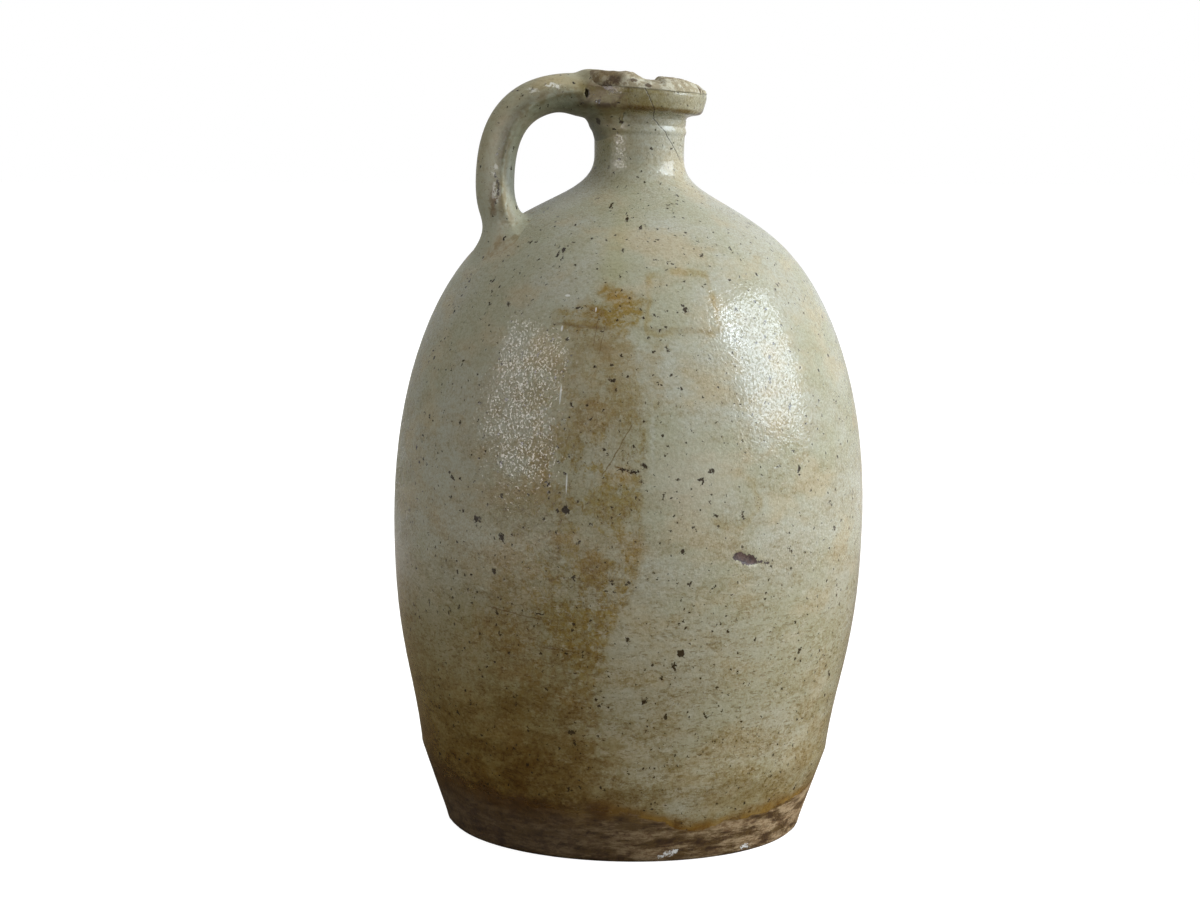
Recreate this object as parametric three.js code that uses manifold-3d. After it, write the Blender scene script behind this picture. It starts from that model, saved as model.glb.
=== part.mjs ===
// Stoneware jug with one ear handle: a thrown vessel, a tooled mouth collar and a pulled strap handle.
// Millimetres, +Z up. The origin is the centre of the foot, on the surface that the jug stands on.
// The handle points along -X. Radii are measured from the vessel's axis.
import * as THREE from "three";
import { mergeVertices } from "three/addons/utils/BufferGeometryUtils.js";
import Module from "manifold-3d";

const wasm = await Module();
wasm.setup();

// Vessel, outside. Each rise is measured from the place named before it.
const FOOT_RADIUS = 87;
const FOOT_CORNER = 4;
const TRIM_RADIUS = 99.3; // where the turned lower wall meets the thrown curve
const TRIM_HEIGHT = 39;
const TRIM_LEAN = THREE.MathUtils.degToRad(7.2); // of the wall just above, from the vertical
const BELLY_RADIUS = 114;
const BELLY_RISE = 115;
const SHOULDER_RADIUS = 67; // where the shoulder's round turns into the neck's hollow
const SHOULDER_RISE = 134;
const SHOULDER_PITCH = THREE.MathUtils.degToRad(37.2); // of the shoulder there, from the horizontal
const NECK_RADIUS = 21.5; // at its narrowest
const NECK_RISE = 37;
const NECK_SPREAD = 0.9; // how much wider the neck is at its top
const NECK_LENGTH = 19;
const CORDON_DROP = 4.5; // of the fine raised ring below the neck's top
const CORDON_WIDTH = 4;
const CORDON_RISE = 0.7;

// How far each end of a wall curve runs along its tangent, as a share of that curve's rise
const TRIM_PULL = 0.34;
const BELLY_PULL_DOWN = 0.55;
const BELLY_PULL_UP = 0.457;
const SHOULDER_PULL_DOWN = 0.27;
const SHOULDER_PULL_UP = 0.847;
const NECK_PULL = 0.456;

// Vessel, inside
const WALL = 8; // at the foot, thinning towards the neck
const NECK_WALL = 7;
const FLOOR = 11;
const FLOOR_CORNER = 14;

// Mouth collar
const COLLAR_OVERHANG = 9.8; // beyond the neck's top
const COLLAR_HEIGHT = 20;
const UNDERCUT = 2.2; // rise of the collar's underside towards its edge
const BEAD_LEVEL = 6; // where the lower bead is fullest
const BEAD_SET_BACK = 1.4; // of the bead behind the band above it
const GROOVE_LEVEL = 9.6;
const GROOVE_DEPTH = 0.8;
const GROOVE_WIDTH = 2.2;
const LIP_ROUND = 6;
const MOUTH_FLARE = 3; // how much wider than the bore the mouth is
const MOUTH_DEPTH = 6;

// How the neck settled in the kiln, away from the handle
const NECK_OFFSET = 2.4;
const MOUTH_TILT = THREE.MathUtils.degToRad(4);

// Strap handle
const HANDLE_LEVEL = 11.5; // of the strap's middle line above the collar's seat
const HANDLE_REACH = 69.2; // of the middle line, at its furthest from the axis
const HANDLE_DROP = 43; // of that place below the collar end
const HANDLE_FOOT_RADIUS = 64; // where the middle line meets the shoulder
const HANDLE_FOOT_LEAN = THREE.MathUtils.degToRad(14); // of the strap there, from the vertical
const TOP_PULL = 30; // how far the middle line's curve follows its tangent, at each place
const REACH_PULL_UP = 26;
const REACH_PULL_DOWN = 12;
const FOOT_PULL = 9;
const STRAP_WIDTH = 27;
const STRAP_THICKNESS = 18;
const STRAP_EDGE = 1.35; // 1 is an oval, and more draws the two edges out to ridges
const FINGER_FILLET = 12; // height of the clay thumbed out on to the neck and the shoulder
const OUTER_FILLET = 6;
const COLLAR_FILLET = 4; // of the clay smoothed on to the collar, below the lip
const FILLET_RUN_ON = 1.25; // how far a fillet goes on below its surface, as a share of its height
const EMBED = 10; // how far the strap runs on past a surface before it is cut to it

const SEAT_GAP = 0.3; // the film of slip that lies between two luted pieces

// Facets
const TURN_STEPS = 60;
const OUTER_STEPS = 10;
const INNER_STEPS = 6;
const ROUND_STEPS = 3;
const NECK_STEPS = 8;
const STRAP_SIDES = 20;
const STRAP_STEPS = 18;
const JOINT_STEPS = 14;
const SAME_PLACE = 1e-3; // corners closer than this are one corner

const BORE_RADIUS = NECK_RADIUS - NECK_WALL;
const NECK_TOP_RADIUS = NECK_RADIUS + NECK_SPREAD;
const COLLAR_RADIUS = NECK_TOP_RADIUS + COLLAR_OVERHANG;
const BELLY_HEIGHT = TRIM_HEIGHT + BELLY_RISE;
const SHOULDER_HEIGHT = BELLY_HEIGHT + SHOULDER_RISE;
const NECK_HEIGHT = SHOULDER_HEIGHT + NECK_RISE;
const NECK_TOP_HEIGHT = NECK_HEIGHT + NECK_LENGTH;

const glaze = new THREE.MeshStandardMaterial({ color: 0xa9a68f, roughness: 0.3, metalness: 0 });
const wornGlaze = new THREE.MeshStandardMaterial({ color: 0x9c9276, roughness: 0.45, metalness: 0 });
const handleGlaze = new THREE.MeshStandardMaterial({ color: 0xa5a291, roughness: 0.32, metalness: 0 });

// The thrown curve from the trim line over belly and shoulder to the neck's narrowest place.
function thrownCurve(steps) {
  const inward = Math.cos(SHOULDER_PITCH);
  const upward = Math.sin(SHOULDER_PITCH);
  const path = new THREE.Path();
  path.moveTo(TRIM_RADIUS, TRIM_HEIGHT);
  path.bezierCurveTo(
    TRIM_RADIUS + TRIM_PULL * BELLY_RISE * Math.sin(TRIM_LEAN),
    TRIM_HEIGHT + TRIM_PULL * BELLY_RISE * Math.cos(TRIM_LEAN),
    BELLY_RADIUS,
    BELLY_HEIGHT - BELLY_PULL_DOWN * BELLY_RISE,
    BELLY_RADIUS,
    BELLY_HEIGHT,
  );
  path.bezierCurveTo(
    BELLY_RADIUS,
    BELLY_HEIGHT + BELLY_PULL_UP * SHOULDER_RISE,
    SHOULDER_RADIUS + SHOULDER_PULL_DOWN * SHOULDER_RISE * inward,
    SHOULDER_HEIGHT - SHOULDER_PULL_DOWN * SHOULDER_RISE * upward,
    SHOULDER_RADIUS,
    SHOULDER_HEIGHT,
  );
  path.bezierCurveTo(
    SHOULDER_RADIUS - SHOULDER_PULL_UP * NECK_RISE * inward,
    SHOULDER_HEIGHT + SHOULDER_PULL_UP * NECK_RISE * upward,
    NECK_RADIUS,
    NECK_HEIGHT - NECK_PULL * NECK_RISE,
    NECK_RADIUS,
    NECK_HEIGHT,
  );
  return path.getPoints(steps);
}

// The neck above its narrowest place: it spreads to the top and carries the cordon.
function neckOutline() {
  const points = [];
  const cordonHeight = NECK_TOP_HEIGHT - CORDON_DROP;
  for (let i = 1; i <= NECK_STEPS; i++) {
    const share = i / NECK_STEPS;
    const height = NECK_HEIGHT + share * NECK_LENGTH;
    const fromCordon = Math.min(1, Math.abs(height - cordonHeight) / (CORDON_WIDTH / 2));
    const cordon = (CORDON_RISE * (1 + Math.cos(Math.PI * fromCordon))) / 2;
    points.push(new THREE.Vector2(NECK_RADIUS + NECK_SPREAD * share ** 2 + cordon, height));
  }
  return points;
}

// The foot's rounded corner, from the flat underside to the turned wall.
function footOutline() {
  const path = new THREE.Path();
  path.moveTo(FOOT_RADIUS - FOOT_CORNER, 0);
  path.quadraticCurveTo(FOOT_RADIUS, 0, FOOT_RADIUS, FOOT_CORNER);
  return path.getPoints(ROUND_STEPS);
}

// Points moved square to their own outline, to its left where the distance is positive.
function offsetOutline(points, distanceAt) {
  const last = points.length - 1;
  return points.map((point, i) => {
    const along = points[Math.min(i + 1, last)].clone().sub(points[Math.max(i - 1, 0)]).normalize();
    const distance = distanceAt(i / last);
    return new THREE.Vector2(point.x - along.y * distance, point.y + along.x * distance);
  });
}

// The inside follows the wall down from the bore and rounds into the floor.
function innerOutline() {
  const thickness = (share) => THREE.MathUtils.lerp(WALL, NECK_WALL, share);
  const wall = offsetOutline(thrownCurve(INNER_STEPS), thickness).reverse();
  const floorRadius = FOOT_RADIUS - WALL;
  const corner = new THREE.Path();
  corner.moveTo(wall.at(-1).x, wall.at(-1).y);
  corner.lineTo(floorRadius + FLOOR_CORNER * Math.tan(TRIM_LEAN), FLOOR + FLOOR_CORNER);
  corner.quadraticCurveTo(floorRadius, FLOOR, floorRadius - FLOOR_CORNER, FLOOR);
  return [...wall, ...corner.getPoints(ROUND_STEPS).slice(1)];
}

// The collar's section in its own frame, where height 0 is its seat on the neck.
function collarOutline() {
  const beadRadius = COLLAR_RADIUS - BEAD_SET_BACK;
  const path = new THREE.Path();
  path.moveTo(BORE_RADIUS, 0);
  path.lineTo(NECK_TOP_RADIUS, 0);
  path.quadraticCurveTo(beadRadius, UNDERCUT, beadRadius, BEAD_LEVEL);
  path.lineTo(beadRadius, GROOVE_LEVEL - GROOVE_WIDTH / 2);
  path.lineTo(beadRadius - GROOVE_DEPTH, GROOVE_LEVEL);
  path.lineTo(COLLAR_RADIUS, GROOVE_LEVEL + GROOVE_WIDTH / 2);
  path.lineTo(COLLAR_RADIUS, COLLAR_HEIGHT - LIP_ROUND);
  path.quadraticCurveTo(COLLAR_RADIUS, COLLAR_HEIGHT, COLLAR_RADIUS - LIP_ROUND, COLLAR_HEIGHT);
  path.lineTo(BORE_RADIUS + MOUTH_FLARE, COLLAR_HEIGHT);
  path.quadraticCurveTo(BORE_RADIUS, COLLAR_HEIGHT, BORE_RADIUS, COLLAR_HEIGHT - MOUTH_DEPTH);
  path.closePath();
  return path.getPoints(ROUND_STEPS);
}

// An outline of radius and height turned about Z.
function turn(outline) {
  return new THREE.LatheGeometry(outline, TURN_STEPS).rotateX(Math.PI / 2);
}

// Where a point of the truly round vessel lies once the neck has moved over and its top has tilted.
function settle(point) {
  const moved = NECK_OFFSET * THREE.MathUtils.smoothstep(point.z, SHOULDER_HEIGHT, NECK_HEIGHT);
  const tilted = THREE.MathUtils.smoothstep(point.z, NECK_HEIGHT, NECK_TOP_HEIGHT);
  return new THREE.Vector3(point.x + moved, point.y, point.z - point.x * Math.tan(MOUTH_TILT) * tilted);
}

function settleGeometry(geometry) {
  const position = geometry.getAttribute("position");
  for (let i = 0; i < position.count; i++) {
    const point = settle(new THREE.Vector3().fromBufferAttribute(position, i));
    position.setXYZ(i, point.x, point.y, point.z);
  }
  return geometry;
}

// The place of the collar on the settled neck.
function seatCollar(object) {
  object.position.set(NECK_OFFSET, 0, NECK_TOP_HEIGHT + SEAT_GAP);
  object.rotation.y = MOUTH_TILT;
  object.updateMatrix();
  return object;
}

// The outside that the handle joins: the vessel's wall, and the collar from its seat to its lip.
const wallOutline = [...footOutline(), ...thrownCurve(OUTER_STEPS), ...neckOutline()];
const collarFace = collarOutline().filter((point) => point.x >= NECK_TOP_RADIUS);
const collarFrame = seatCollar(new THREE.Object3D()).matrix;

function vesselGeometry() {
  const outline = [
    new THREE.Vector2(0, 0),
    ...wallOutline,
    new THREE.Vector2(BORE_RADIUS, NECK_TOP_HEIGHT),
    ...innerOutline(),
    new THREE.Vector2(0, FLOOR),
  ];
  return settleGeometry(turn(outline));
}

// The space that the vessel and the slip on it take up, with no hollow, for cutting the handle to it.
function vesselRoom() {
  const outline = [
    new THREE.Vector2(0, 0),
    ...offsetOutline(wallOutline, () => -SEAT_GAP),
    new THREE.Vector2(NECK_TOP_RADIUS + SEAT_GAP, NECK_TOP_HEIGHT + SEAT_GAP),
    new THREE.Vector2(0, NECK_TOP_HEIGHT + SEAT_GAP),
  ];
  return solid(settleGeometry(turn(outline)));
}

// The same for the collar, carried up past the lip so that no clay is left lying on the mouth.
function collarRoom() {
  const section = collarOutline();
  const lip = section.findIndex((point) => point.y === COLLAR_HEIGHT);
  const outline = [
    new THREE.Vector2(0, 0),
    ...offsetOutline(section.slice(1, lip + 1), () => -SEAT_GAP),
    new THREE.Vector2(section[lip].x, COLLAR_HEIGHT + STRAP_THICKNESS),
    new THREE.Vector2(0, COLLAR_HEIGHT + STRAP_THICKNESS),
  ];
  return solid(turn(outline).applyMatrix4(collarFrame));
}

// The height of the shoulder's outside at a radius.
function shoulderHeightAt(radius) {
  const wall = thrownCurve(OUTER_STEPS);
  const i = wall.findLastIndex((point) => point.x >= radius);
  const share = (wall[i].x - radius) / (wall[i].x - wall[i + 1].x);
  return THREE.MathUtils.lerp(wall[i].y, wall[i + 1].y, share);
}

// The strap's middle line, in the XZ plane, from inside the collar round to inside the shoulder.
function strapLine() {
  const topHeight = NECK_TOP_HEIGHT + HANDLE_LEVEL;
  const reachHeight = topHeight - HANDLE_DROP;
  const footHeight = shoulderHeightAt(HANDLE_FOOT_RADIUS);
  const collarX = NECK_OFFSET - COLLAR_RADIUS;
  const footLine = new THREE.Vector3(Math.sin(HANDLE_FOOT_LEAN), 0, -Math.cos(HANDLE_FOOT_LEAN));
  const top = new THREE.Vector3(collarX, 0, topHeight);
  const reach = new THREE.Vector3(-HANDLE_REACH, 0, reachHeight);
  const foot = new THREE.Vector3(-HANDLE_FOOT_RADIUS, 0, footHeight);
  const line = new THREE.CurvePath();
  line.add(new THREE.LineCurve3(new THREE.Vector3(collarX + EMBED, 0, topHeight), top));
  line.add(
    new THREE.CubicBezierCurve3(
      top,
      new THREE.Vector3(collarX - TOP_PULL, 0, topHeight),
      new THREE.Vector3(-HANDLE_REACH, 0, reachHeight + REACH_PULL_UP),
      reach,
    ),
  );
  line.add(
    new THREE.CubicBezierCurve3(
      reach,
      new THREE.Vector3(-HANDLE_REACH, 0, reachHeight - REACH_PULL_DOWN),
      foot.clone().addScaledVector(footLine, -FOOT_PULL),
      foot,
    ),
  );
  line.add(new THREE.LineCurve3(foot, foot.clone().addScaledVector(footLine, EMBED)));
  return line;
}

// How far a point is from an outline that is turned about Z, negative inside it.
function clearance(outline, point) {
  const radius = Math.hypot(point.x, point.y);
  const place = new THREE.Vector3(radius, point.z, 0);
  const nearest = new THREE.Vector3();
  let distance = Infinity;
  let inside = false;
  for (let i = 0; i + 1 < outline.length; i++) {
    const start = new THREE.Vector3(outline[i].x, outline[i].y, 0);
    const end = new THREE.Vector3(outline[i + 1].x, outline[i + 1].y, 0);
    new THREE.Line3(start, end).closestPointToPoint(place, true, nearest);
    distance = Math.min(distance, nearest.distanceTo(place));
    const crosses = start.y <= point.z !== end.y <= point.z;
    const wallRadius = THREE.MathUtils.mapLinear(point.z, start.y, end.y, start.x, end.x);
    if (crosses && radius < wallRadius) inside = !inside;
  }
  return inside ? -distance : distance;
}

function clearanceToVessel(point) {
  const neckAxis = NECK_OFFSET * THREE.MathUtils.smoothstep(point.z, SHOULDER_HEIGHT, NECK_HEIGHT);
  return clearance(wallOutline, new THREE.Vector3(point.x - neckAxis, point.y, point.z));
}

function clearanceToCollar(point) {
  return clearance(collarFace, point.clone().applyMatrix4(collarFrame.clone().invert()));
}

// How far a hollow fillet stands out from the strap at a distance from the surface it joins.
function filletReach(height, distance) {
  const share = THREE.MathUtils.clamp(1 - distance / height, 0, FILLET_RUN_ON);
  return (height * share ** 2) / 2;
}

// One ring of the strap: a flattened oval whose two edges are drawn out to ridges, filleted near a joint.
function strapRing(middle, along) {
  const outward = new THREE.Vector3(along.z, 0, -along.x);
  const ring = [];
  for (let i = 0; i < STRAP_SIDES; i++) {
    const angle = (2 * Math.PI * i) / STRAP_SIDES;
    const rise = Math.sign(Math.sin(angle)) * Math.abs(Math.sin(angle)) ** STRAP_EDGE;
    const spoke = outward.clone().multiplyScalar((rise * STRAP_THICKNESS) / 2);
    spoke.y = (Math.cos(angle) * STRAP_WIDTH) / 2;
    const skin = middle.clone().add(spoke);
    const vesselFillet = THREE.MathUtils.mapLinear(rise, -1, 1, FINGER_FILLET, OUTER_FILLET);
    const collarFillet = THREE.MathUtils.mapLinear(rise, -1, 1, COLLAR_FILLET, 0);
    const reach = Math.max(
      filletReach(vesselFillet, clearanceToVessel(skin)),
      filletReach(collarFillet, clearanceToCollar(skin)),
    );
    ring.push(skin.addScaledVector(spoke.normalize(), reach));
  }
  return ring;
}

// A closed skin over a row of rings with equal counts of points.
function loft(rings) {
  const sides = rings[0].length;
  const vertices = rings.flat().flatMap((point) => point.toArray());
  const index = [];
  for (let r = 0; r + 1 < rings.length; r++) {
    for (let s = 0; s < sides; s++) {
      const next = (s + 1) % sides;
      const a = r * sides + s;
      const b = r * sides + next;
      index.push(a, a + sides, b, b, a + sides, b + sides);
    }
  }
  const end = (rings.length - 1) * sides;
  for (let s = 1; s + 1 < sides; s++) {
    index.push(0, s, s + 1, end, end + s + 1, end + s);
  }
  const geometry = new THREE.BufferGeometry();
  geometry.setAttribute("position", new THREE.Float32BufferAttribute(vertices, 3));
  return geometry.setIndex(index);
}

// Where along the strap its rings lie: close together at the two joints, for the fillets.
function ringPlaces(length) {
  const joint = EMBED + FINGER_FILLET + OUTER_FILLET;
  const places = [];
  for (let i = 0; i < JOINT_STEPS; i++) places.push((joint * i) / JOINT_STEPS);
  const far = places.map((place) => length - place).reverse();
  for (let i = 0; i <= STRAP_STEPS; i++) {
    places.push(THREE.MathUtils.lerp(joint, length - joint, i / STRAP_STEPS));
  }
  return [...places, ...far];
}

function handleGeometry() {
  const line = strapLine();
  const length = line.getLength();
  const rings = ringPlaces(length).map((place) => {
    return strapRing(line.getPointAt(place / length), line.getTangentAt(place / length));
  });
  const strap = solid(loft(rings));
  return geometryOf(strap.subtract(vesselRoom()).subtract(collarRoom()));
}

// A closed geometry as a solid for cutting, and a solid's surface as a geometry.
function solid(geometry) {
  const bare = geometry.clone();
  bare.deleteAttribute("normal");
  bare.deleteAttribute("uv");
  const merged = mergeVertices(bare, SAME_PLACE);
  const vertProperties = new Float32Array(merged.getAttribute("position").array);
  const triVerts = new Uint32Array(merged.index.array);
  return new wasm.Manifold(new wasm.Mesh({ numProp: 3, vertProperties, triVerts }));
}

function geometryOf(manifold) {
  const mesh = manifold.getMesh();
  const geometry = new THREE.BufferGeometry();
  geometry.setAttribute("position", new THREE.BufferAttribute(mesh.vertProperties, 3));
  geometry.setIndex(new THREE.BufferAttribute(mesh.triVerts, 1));
  geometry.computeVertexNormals();
  return geometry;
}

function named(name, geometry, material) {
  const mesh = new THREE.Mesh(geometry, material);
  mesh.name = name;
  return mesh;
}

const jug = new THREE.Group();
jug.add(named("vessel_body", vesselGeometry(), glaze));
jug.add(seatCollar(named("mouth_collar", turn(collarOutline()), wornGlaze)));
jug.add(named("strap_handle", handleGeometry(), handleGlaze));

export default jug;
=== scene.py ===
"""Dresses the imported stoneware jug: a settled vessel, a worn collar and a strap handle under one glaze.

Shapes are worked out in millimetres and become metres in mesh_object(). Materials and the stage are in
metres. Angles "from front" are turned about Z from the side that faces the camera, and grow towards the
camera's right.
"""

import math
from functools import reduce

import bpy
import numpy as np
import openvdb
from mathutils import Matrix, Vector, noise


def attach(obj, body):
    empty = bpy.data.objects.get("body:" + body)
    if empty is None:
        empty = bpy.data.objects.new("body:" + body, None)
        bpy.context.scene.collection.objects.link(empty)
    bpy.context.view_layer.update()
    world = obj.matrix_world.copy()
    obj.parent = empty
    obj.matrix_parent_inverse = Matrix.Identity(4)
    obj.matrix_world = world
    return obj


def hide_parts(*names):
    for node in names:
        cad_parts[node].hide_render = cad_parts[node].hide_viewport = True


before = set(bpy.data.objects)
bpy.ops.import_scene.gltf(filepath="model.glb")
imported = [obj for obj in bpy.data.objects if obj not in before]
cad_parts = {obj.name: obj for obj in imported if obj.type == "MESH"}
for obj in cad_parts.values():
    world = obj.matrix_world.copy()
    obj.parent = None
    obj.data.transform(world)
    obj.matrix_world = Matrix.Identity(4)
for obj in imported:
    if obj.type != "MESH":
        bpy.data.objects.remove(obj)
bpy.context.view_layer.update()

MM = 0.001

# Vessel, outside: the same driving sizes as the solids
FOOT_RADIUS = 87
FOOT_CORNER = 4
TRIM_RADIUS = 99.3
TRIM_HEIGHT = 39
TRIM_LEAN = math.radians(7.2)
BELLY_RADIUS = 114
BELLY_RISE = 115
SHOULDER_RADIUS = 67
SHOULDER_RISE = 134
SHOULDER_PITCH = math.radians(37.2)
NECK_RADIUS = 21.5
NECK_RISE = 37
NECK_SPREAD = 0.9
NECK_LENGTH = 19
CORDON_DROP = 6
CORDON_WIDTH = 5.5
CORDON_RISE = 0.6
NECK_LINE_WIDTH = 0.7
NECK_LINE_DEPTH = 0.3
TRIM_PULL = 0.34
BELLY_PULL_DOWN = 0.55
BELLY_PULL_UP = 0.457
SHOULDER_PULL_DOWN = 0.27
SHOULDER_PULL_UP = 0.847
NECK_PULL = 0.456
WALL = 8
NECK_WALL = 7
FLOOR = 11
FLOOR_CORNER = 14

# Mouth collar, in its own frame, where height 0 is its seat
COLLAR_OVERHANG = 9.8
COLLAR_HEIGHT = 20
BEAD_SET_BACK = 1.4
GROOVE_LEVEL = 12.6
GROOVE_DEPTH = 0.35
LIP_ROUND = 6
MOUTH_FLARE = 3
MOUTH_DEPTH = 6
SKIRT = 2.6  # how far the collar's clay runs down the neck, and under its surface
NECK_OFFSET = 2.4
MOUTH_TILT = math.radians(4)
SEAT_GAP = 0.3

# Strap handle
HANDLE_LEVEL = 11.5
HANDLE_REACH = 69.2
HANDLE_DROP = 43
HANDLE_FOOT_RADIUS = 64
HANDLE_FOOT_LEAN = math.radians(14)
TOP_PULL = 30
REACH_PULL_UP = 26
REACH_PULL_DOWN = 12
FOOT_PULL = 9
STRAP_WIDTH = 27
STRAP_THICKNESS = 18
STRAP_EDGE = 1.35
EMBED = 10

BORE_RADIUS = NECK_RADIUS - NECK_WALL
NECK_TOP_RADIUS = NECK_RADIUS + NECK_SPREAD
COLLAR_RADIUS = NECK_TOP_RADIUS + COLLAR_OVERHANG
BELLY_HEIGHT = TRIM_HEIGHT + BELLY_RISE
SHOULDER_HEIGHT = BELLY_HEIGHT + SHOULDER_RISE
NECK_HEIGHT = SHOULDER_HEIGHT + NECK_RISE
NECK_TOP_HEIGHT = NECK_HEIGHT + NECK_LENGTH
COLLAR_SEAT = (NECK_OFFSET, 0, NECK_TOP_HEIGHT + SEAT_GAP)
COLLAR_TURN = np.array(Matrix.Rotation(MOUTH_TILT, 3, "Y"))

# Camera, measured from the photograph
CAMERA_DISTANCE = 1.4
CAMERA_HEIGHT = 0.371
CAMERA_TURN = math.radians(-18)
CAMERA_PAN = math.radians(0.583)
CAMERA_PITCH = math.radians(7.67)
CAMERA_ROLL = math.radians(0.9)
LENS = 87
SENSOR = 36
FRONT = math.radians(-90) + CAMERA_TURN  # the azimuth that faces the camera


# Curves

def bezier(controls, steps):
    """Points along a Bezier curve of any degree."""
    share = np.linspace(0, 1, steps + 1)[:, None]
    rows = [np.array(control, float)[None, :] for control in controls]
    while len(rows) > 1:
        rows = [low + (high - low) * share for low, high in zip(rows, rows[1:])]
    return rows[0]


def smoothstep(value, low, high):
    share = np.clip((value - low) / (high - low), 0, 1)
    return share * share * (3 - 2 * share)


def join(*lines):
    """One line of points from several, without the places where two of them meet twice."""
    line = np.vstack(lines)
    moved = np.hypot(*np.diff(line, axis=0).T) > 1e-6
    return line[np.concatenate([[True], moved])]


def walk(line, step_at):
    """A line's points, spaced again by the step that step_at gives for each height."""
    lengths = np.concatenate([[0], np.cumsum(np.hypot(*np.diff(line, axis=0).T))])
    places = [0.0]
    while places[-1] < lengths[-1]:
        height = np.interp(places[-1], lengths, line[:, 1])
        places.append(places[-1] + step_at(height))
    places[-1] = lengths[-1]
    return np.stack([np.interp(places, lengths, line[:, axis]) for axis in (0, 1)], 1)


def normals(line):
    """The unit vector to the right of a line at each of its points."""
    along = np.gradient(line, axis=0)
    along /= np.maximum(np.hypot(*along.T), 1e-9)[:, None]
    return np.stack([along[:, 1], -along[:, 0]], 1)


def lumps(points, size):
    """Smooth noise of one size at each point, from about -1 to 1."""
    return np.array([noise.noise(point) for point in (points / size).tolist()])


# Vessel

CURVE_STEPS = 160


def thrown_curve():
    inward = math.cos(SHOULDER_PITCH)
    upward = math.sin(SHOULDER_PITCH)
    trim = (TRIM_RADIUS, TRIM_HEIGHT)
    trim_pull = (
        TRIM_RADIUS + TRIM_PULL * BELLY_RISE * math.sin(TRIM_LEAN),
        TRIM_HEIGHT + TRIM_PULL * BELLY_RISE * math.cos(TRIM_LEAN),
    )
    belly_below = (BELLY_RADIUS, BELLY_HEIGHT - BELLY_PULL_DOWN * BELLY_RISE)
    belly = (BELLY_RADIUS, BELLY_HEIGHT)
    belly_above = (BELLY_RADIUS, BELLY_HEIGHT + BELLY_PULL_UP * SHOULDER_RISE)
    shoulder_below = (
        SHOULDER_RADIUS + SHOULDER_PULL_DOWN * SHOULDER_RISE * inward,
        SHOULDER_HEIGHT - SHOULDER_PULL_DOWN * SHOULDER_RISE * upward,
    )
    shoulder = (SHOULDER_RADIUS, SHOULDER_HEIGHT)
    shoulder_above = (
        SHOULDER_RADIUS - SHOULDER_PULL_UP * NECK_RISE * inward,
        SHOULDER_HEIGHT + SHOULDER_PULL_UP * NECK_RISE * upward,
    )
    neck_below = (NECK_RADIUS, NECK_HEIGHT - NECK_PULL * NECK_RISE)
    neck = (NECK_RADIUS, NECK_HEIGHT)
    return join(
        bezier([trim, trim_pull, belly_below, belly], CURVE_STEPS),
        bezier([belly, belly_above, shoulder_below, shoulder], CURVE_STEPS),
        bezier([shoulder, shoulder_above, neck_below, neck], CURVE_STEPS),
    )


def wall_outline():
    """The vessel's outside from the foot's corner to the neck's top."""
    foot = bezier([(FOOT_RADIUS - FOOT_CORNER, 0), (FOOT_RADIUS, 0), (FOOT_RADIUS, FOOT_CORNER)], 8)
    share = np.linspace(0, 1, 90)
    height = NECK_HEIGHT + share * NECK_LENGTH
    from_cordon = np.abs(height - NECK_TOP_HEIGHT + CORDON_DROP) / (CORDON_WIDTH / 2)
    cordon = CORDON_RISE * (1 + np.cos(np.pi * np.minimum(from_cordon, 1))) / 2
    line = np.abs(height - NECK_TOP_HEIGHT + CORDON_DROP - CORDON_WIDTH / 2) / NECK_LINE_WIDTH
    cordon -= NECK_LINE_DEPTH * (1 - np.minimum(line, 1))
    neck = np.stack([NECK_RADIUS + NECK_SPREAD * share**2 + cordon, height], 1)
    return join(foot, thrown_curve(), neck)


def settle(points):
    """The thrown round vessel after its neck moved over and its top tilted in the kiln."""
    settled = points.copy()
    settled[:, 0] += NECK_OFFSET * smoothstep(points[:, 2], SHOULDER_HEIGHT, NECK_HEIGHT)
    tilt = math.tan(MOUTH_TILT) * smoothstep(points[:, 2], NECK_HEIGHT, NECK_TOP_HEIGHT)
    settled[:, 2] -= points[:, 0] * tilt
    return settled


def collar_place(points):
    """From the collar's own frame to the jug's."""
    return points @ COLLAR_TURN.T + COLLAR_SEAT


def collar_local(points):
    """From the jug's frame to the collar's own."""
    return (points - COLLAR_SEAT) @ COLLAR_TURN


def turned(line, angles):
    """Points of an outline of radius and height, turned to each angle; rows follow the line."""
    radius = line[:, :1]
    height = np.broadcast_to(line[:, 1:], (len(line), len(angles)))
    return np.stack([radius * np.cos(angles), radius * np.sin(angles), height], 2)


def mesh_object(name, points, faces):
    mesh = bpy.data.meshes.new(name)
    mesh.from_pydata((points * MM).tolist(), [], faces)
    mesh.shade_smooth()
    piece = bpy.data.objects.new(name, mesh)
    bpy.context.scene.collection.objects.link(piece)
    return piece


def grid_faces(rows, columns, closed):
    """Faces of a grid that closes round its columns, and round its rows too where closed is true."""
    faces = []
    for row in range(rows if closed else rows - 1):
        here = row * columns
        above = (row + 1) % rows * columns
        for column in range(columns):
            beside = (column + 1) % columns
            faces.append((here + column, here + beside, above + beside, above + column))
    return faces


CHIP_ANGLE = math.radians(28)  # from front
CHIP_HEIGHT = 147.3
CHIP_HALF_LENGTH = 6.8
CHIP_HALF_WIDTH = 2.7
CHIP_SLOPE = math.radians(-20)
CHIP_DEPTH = 0.5
FINE_BAND = 7  # of smaller faces on each side of the chip
ROW_STEP = 2
FINE_STEP = 0.8
NECK_FINE = 12  # of smaller faces below the neck's top
NECK_STEP = 0.45
COLUMN_STEP = math.radians(1.6)
FINE_COLUMN_STEP = math.radians(0.45)
INSIDE_STEP = 7

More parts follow.
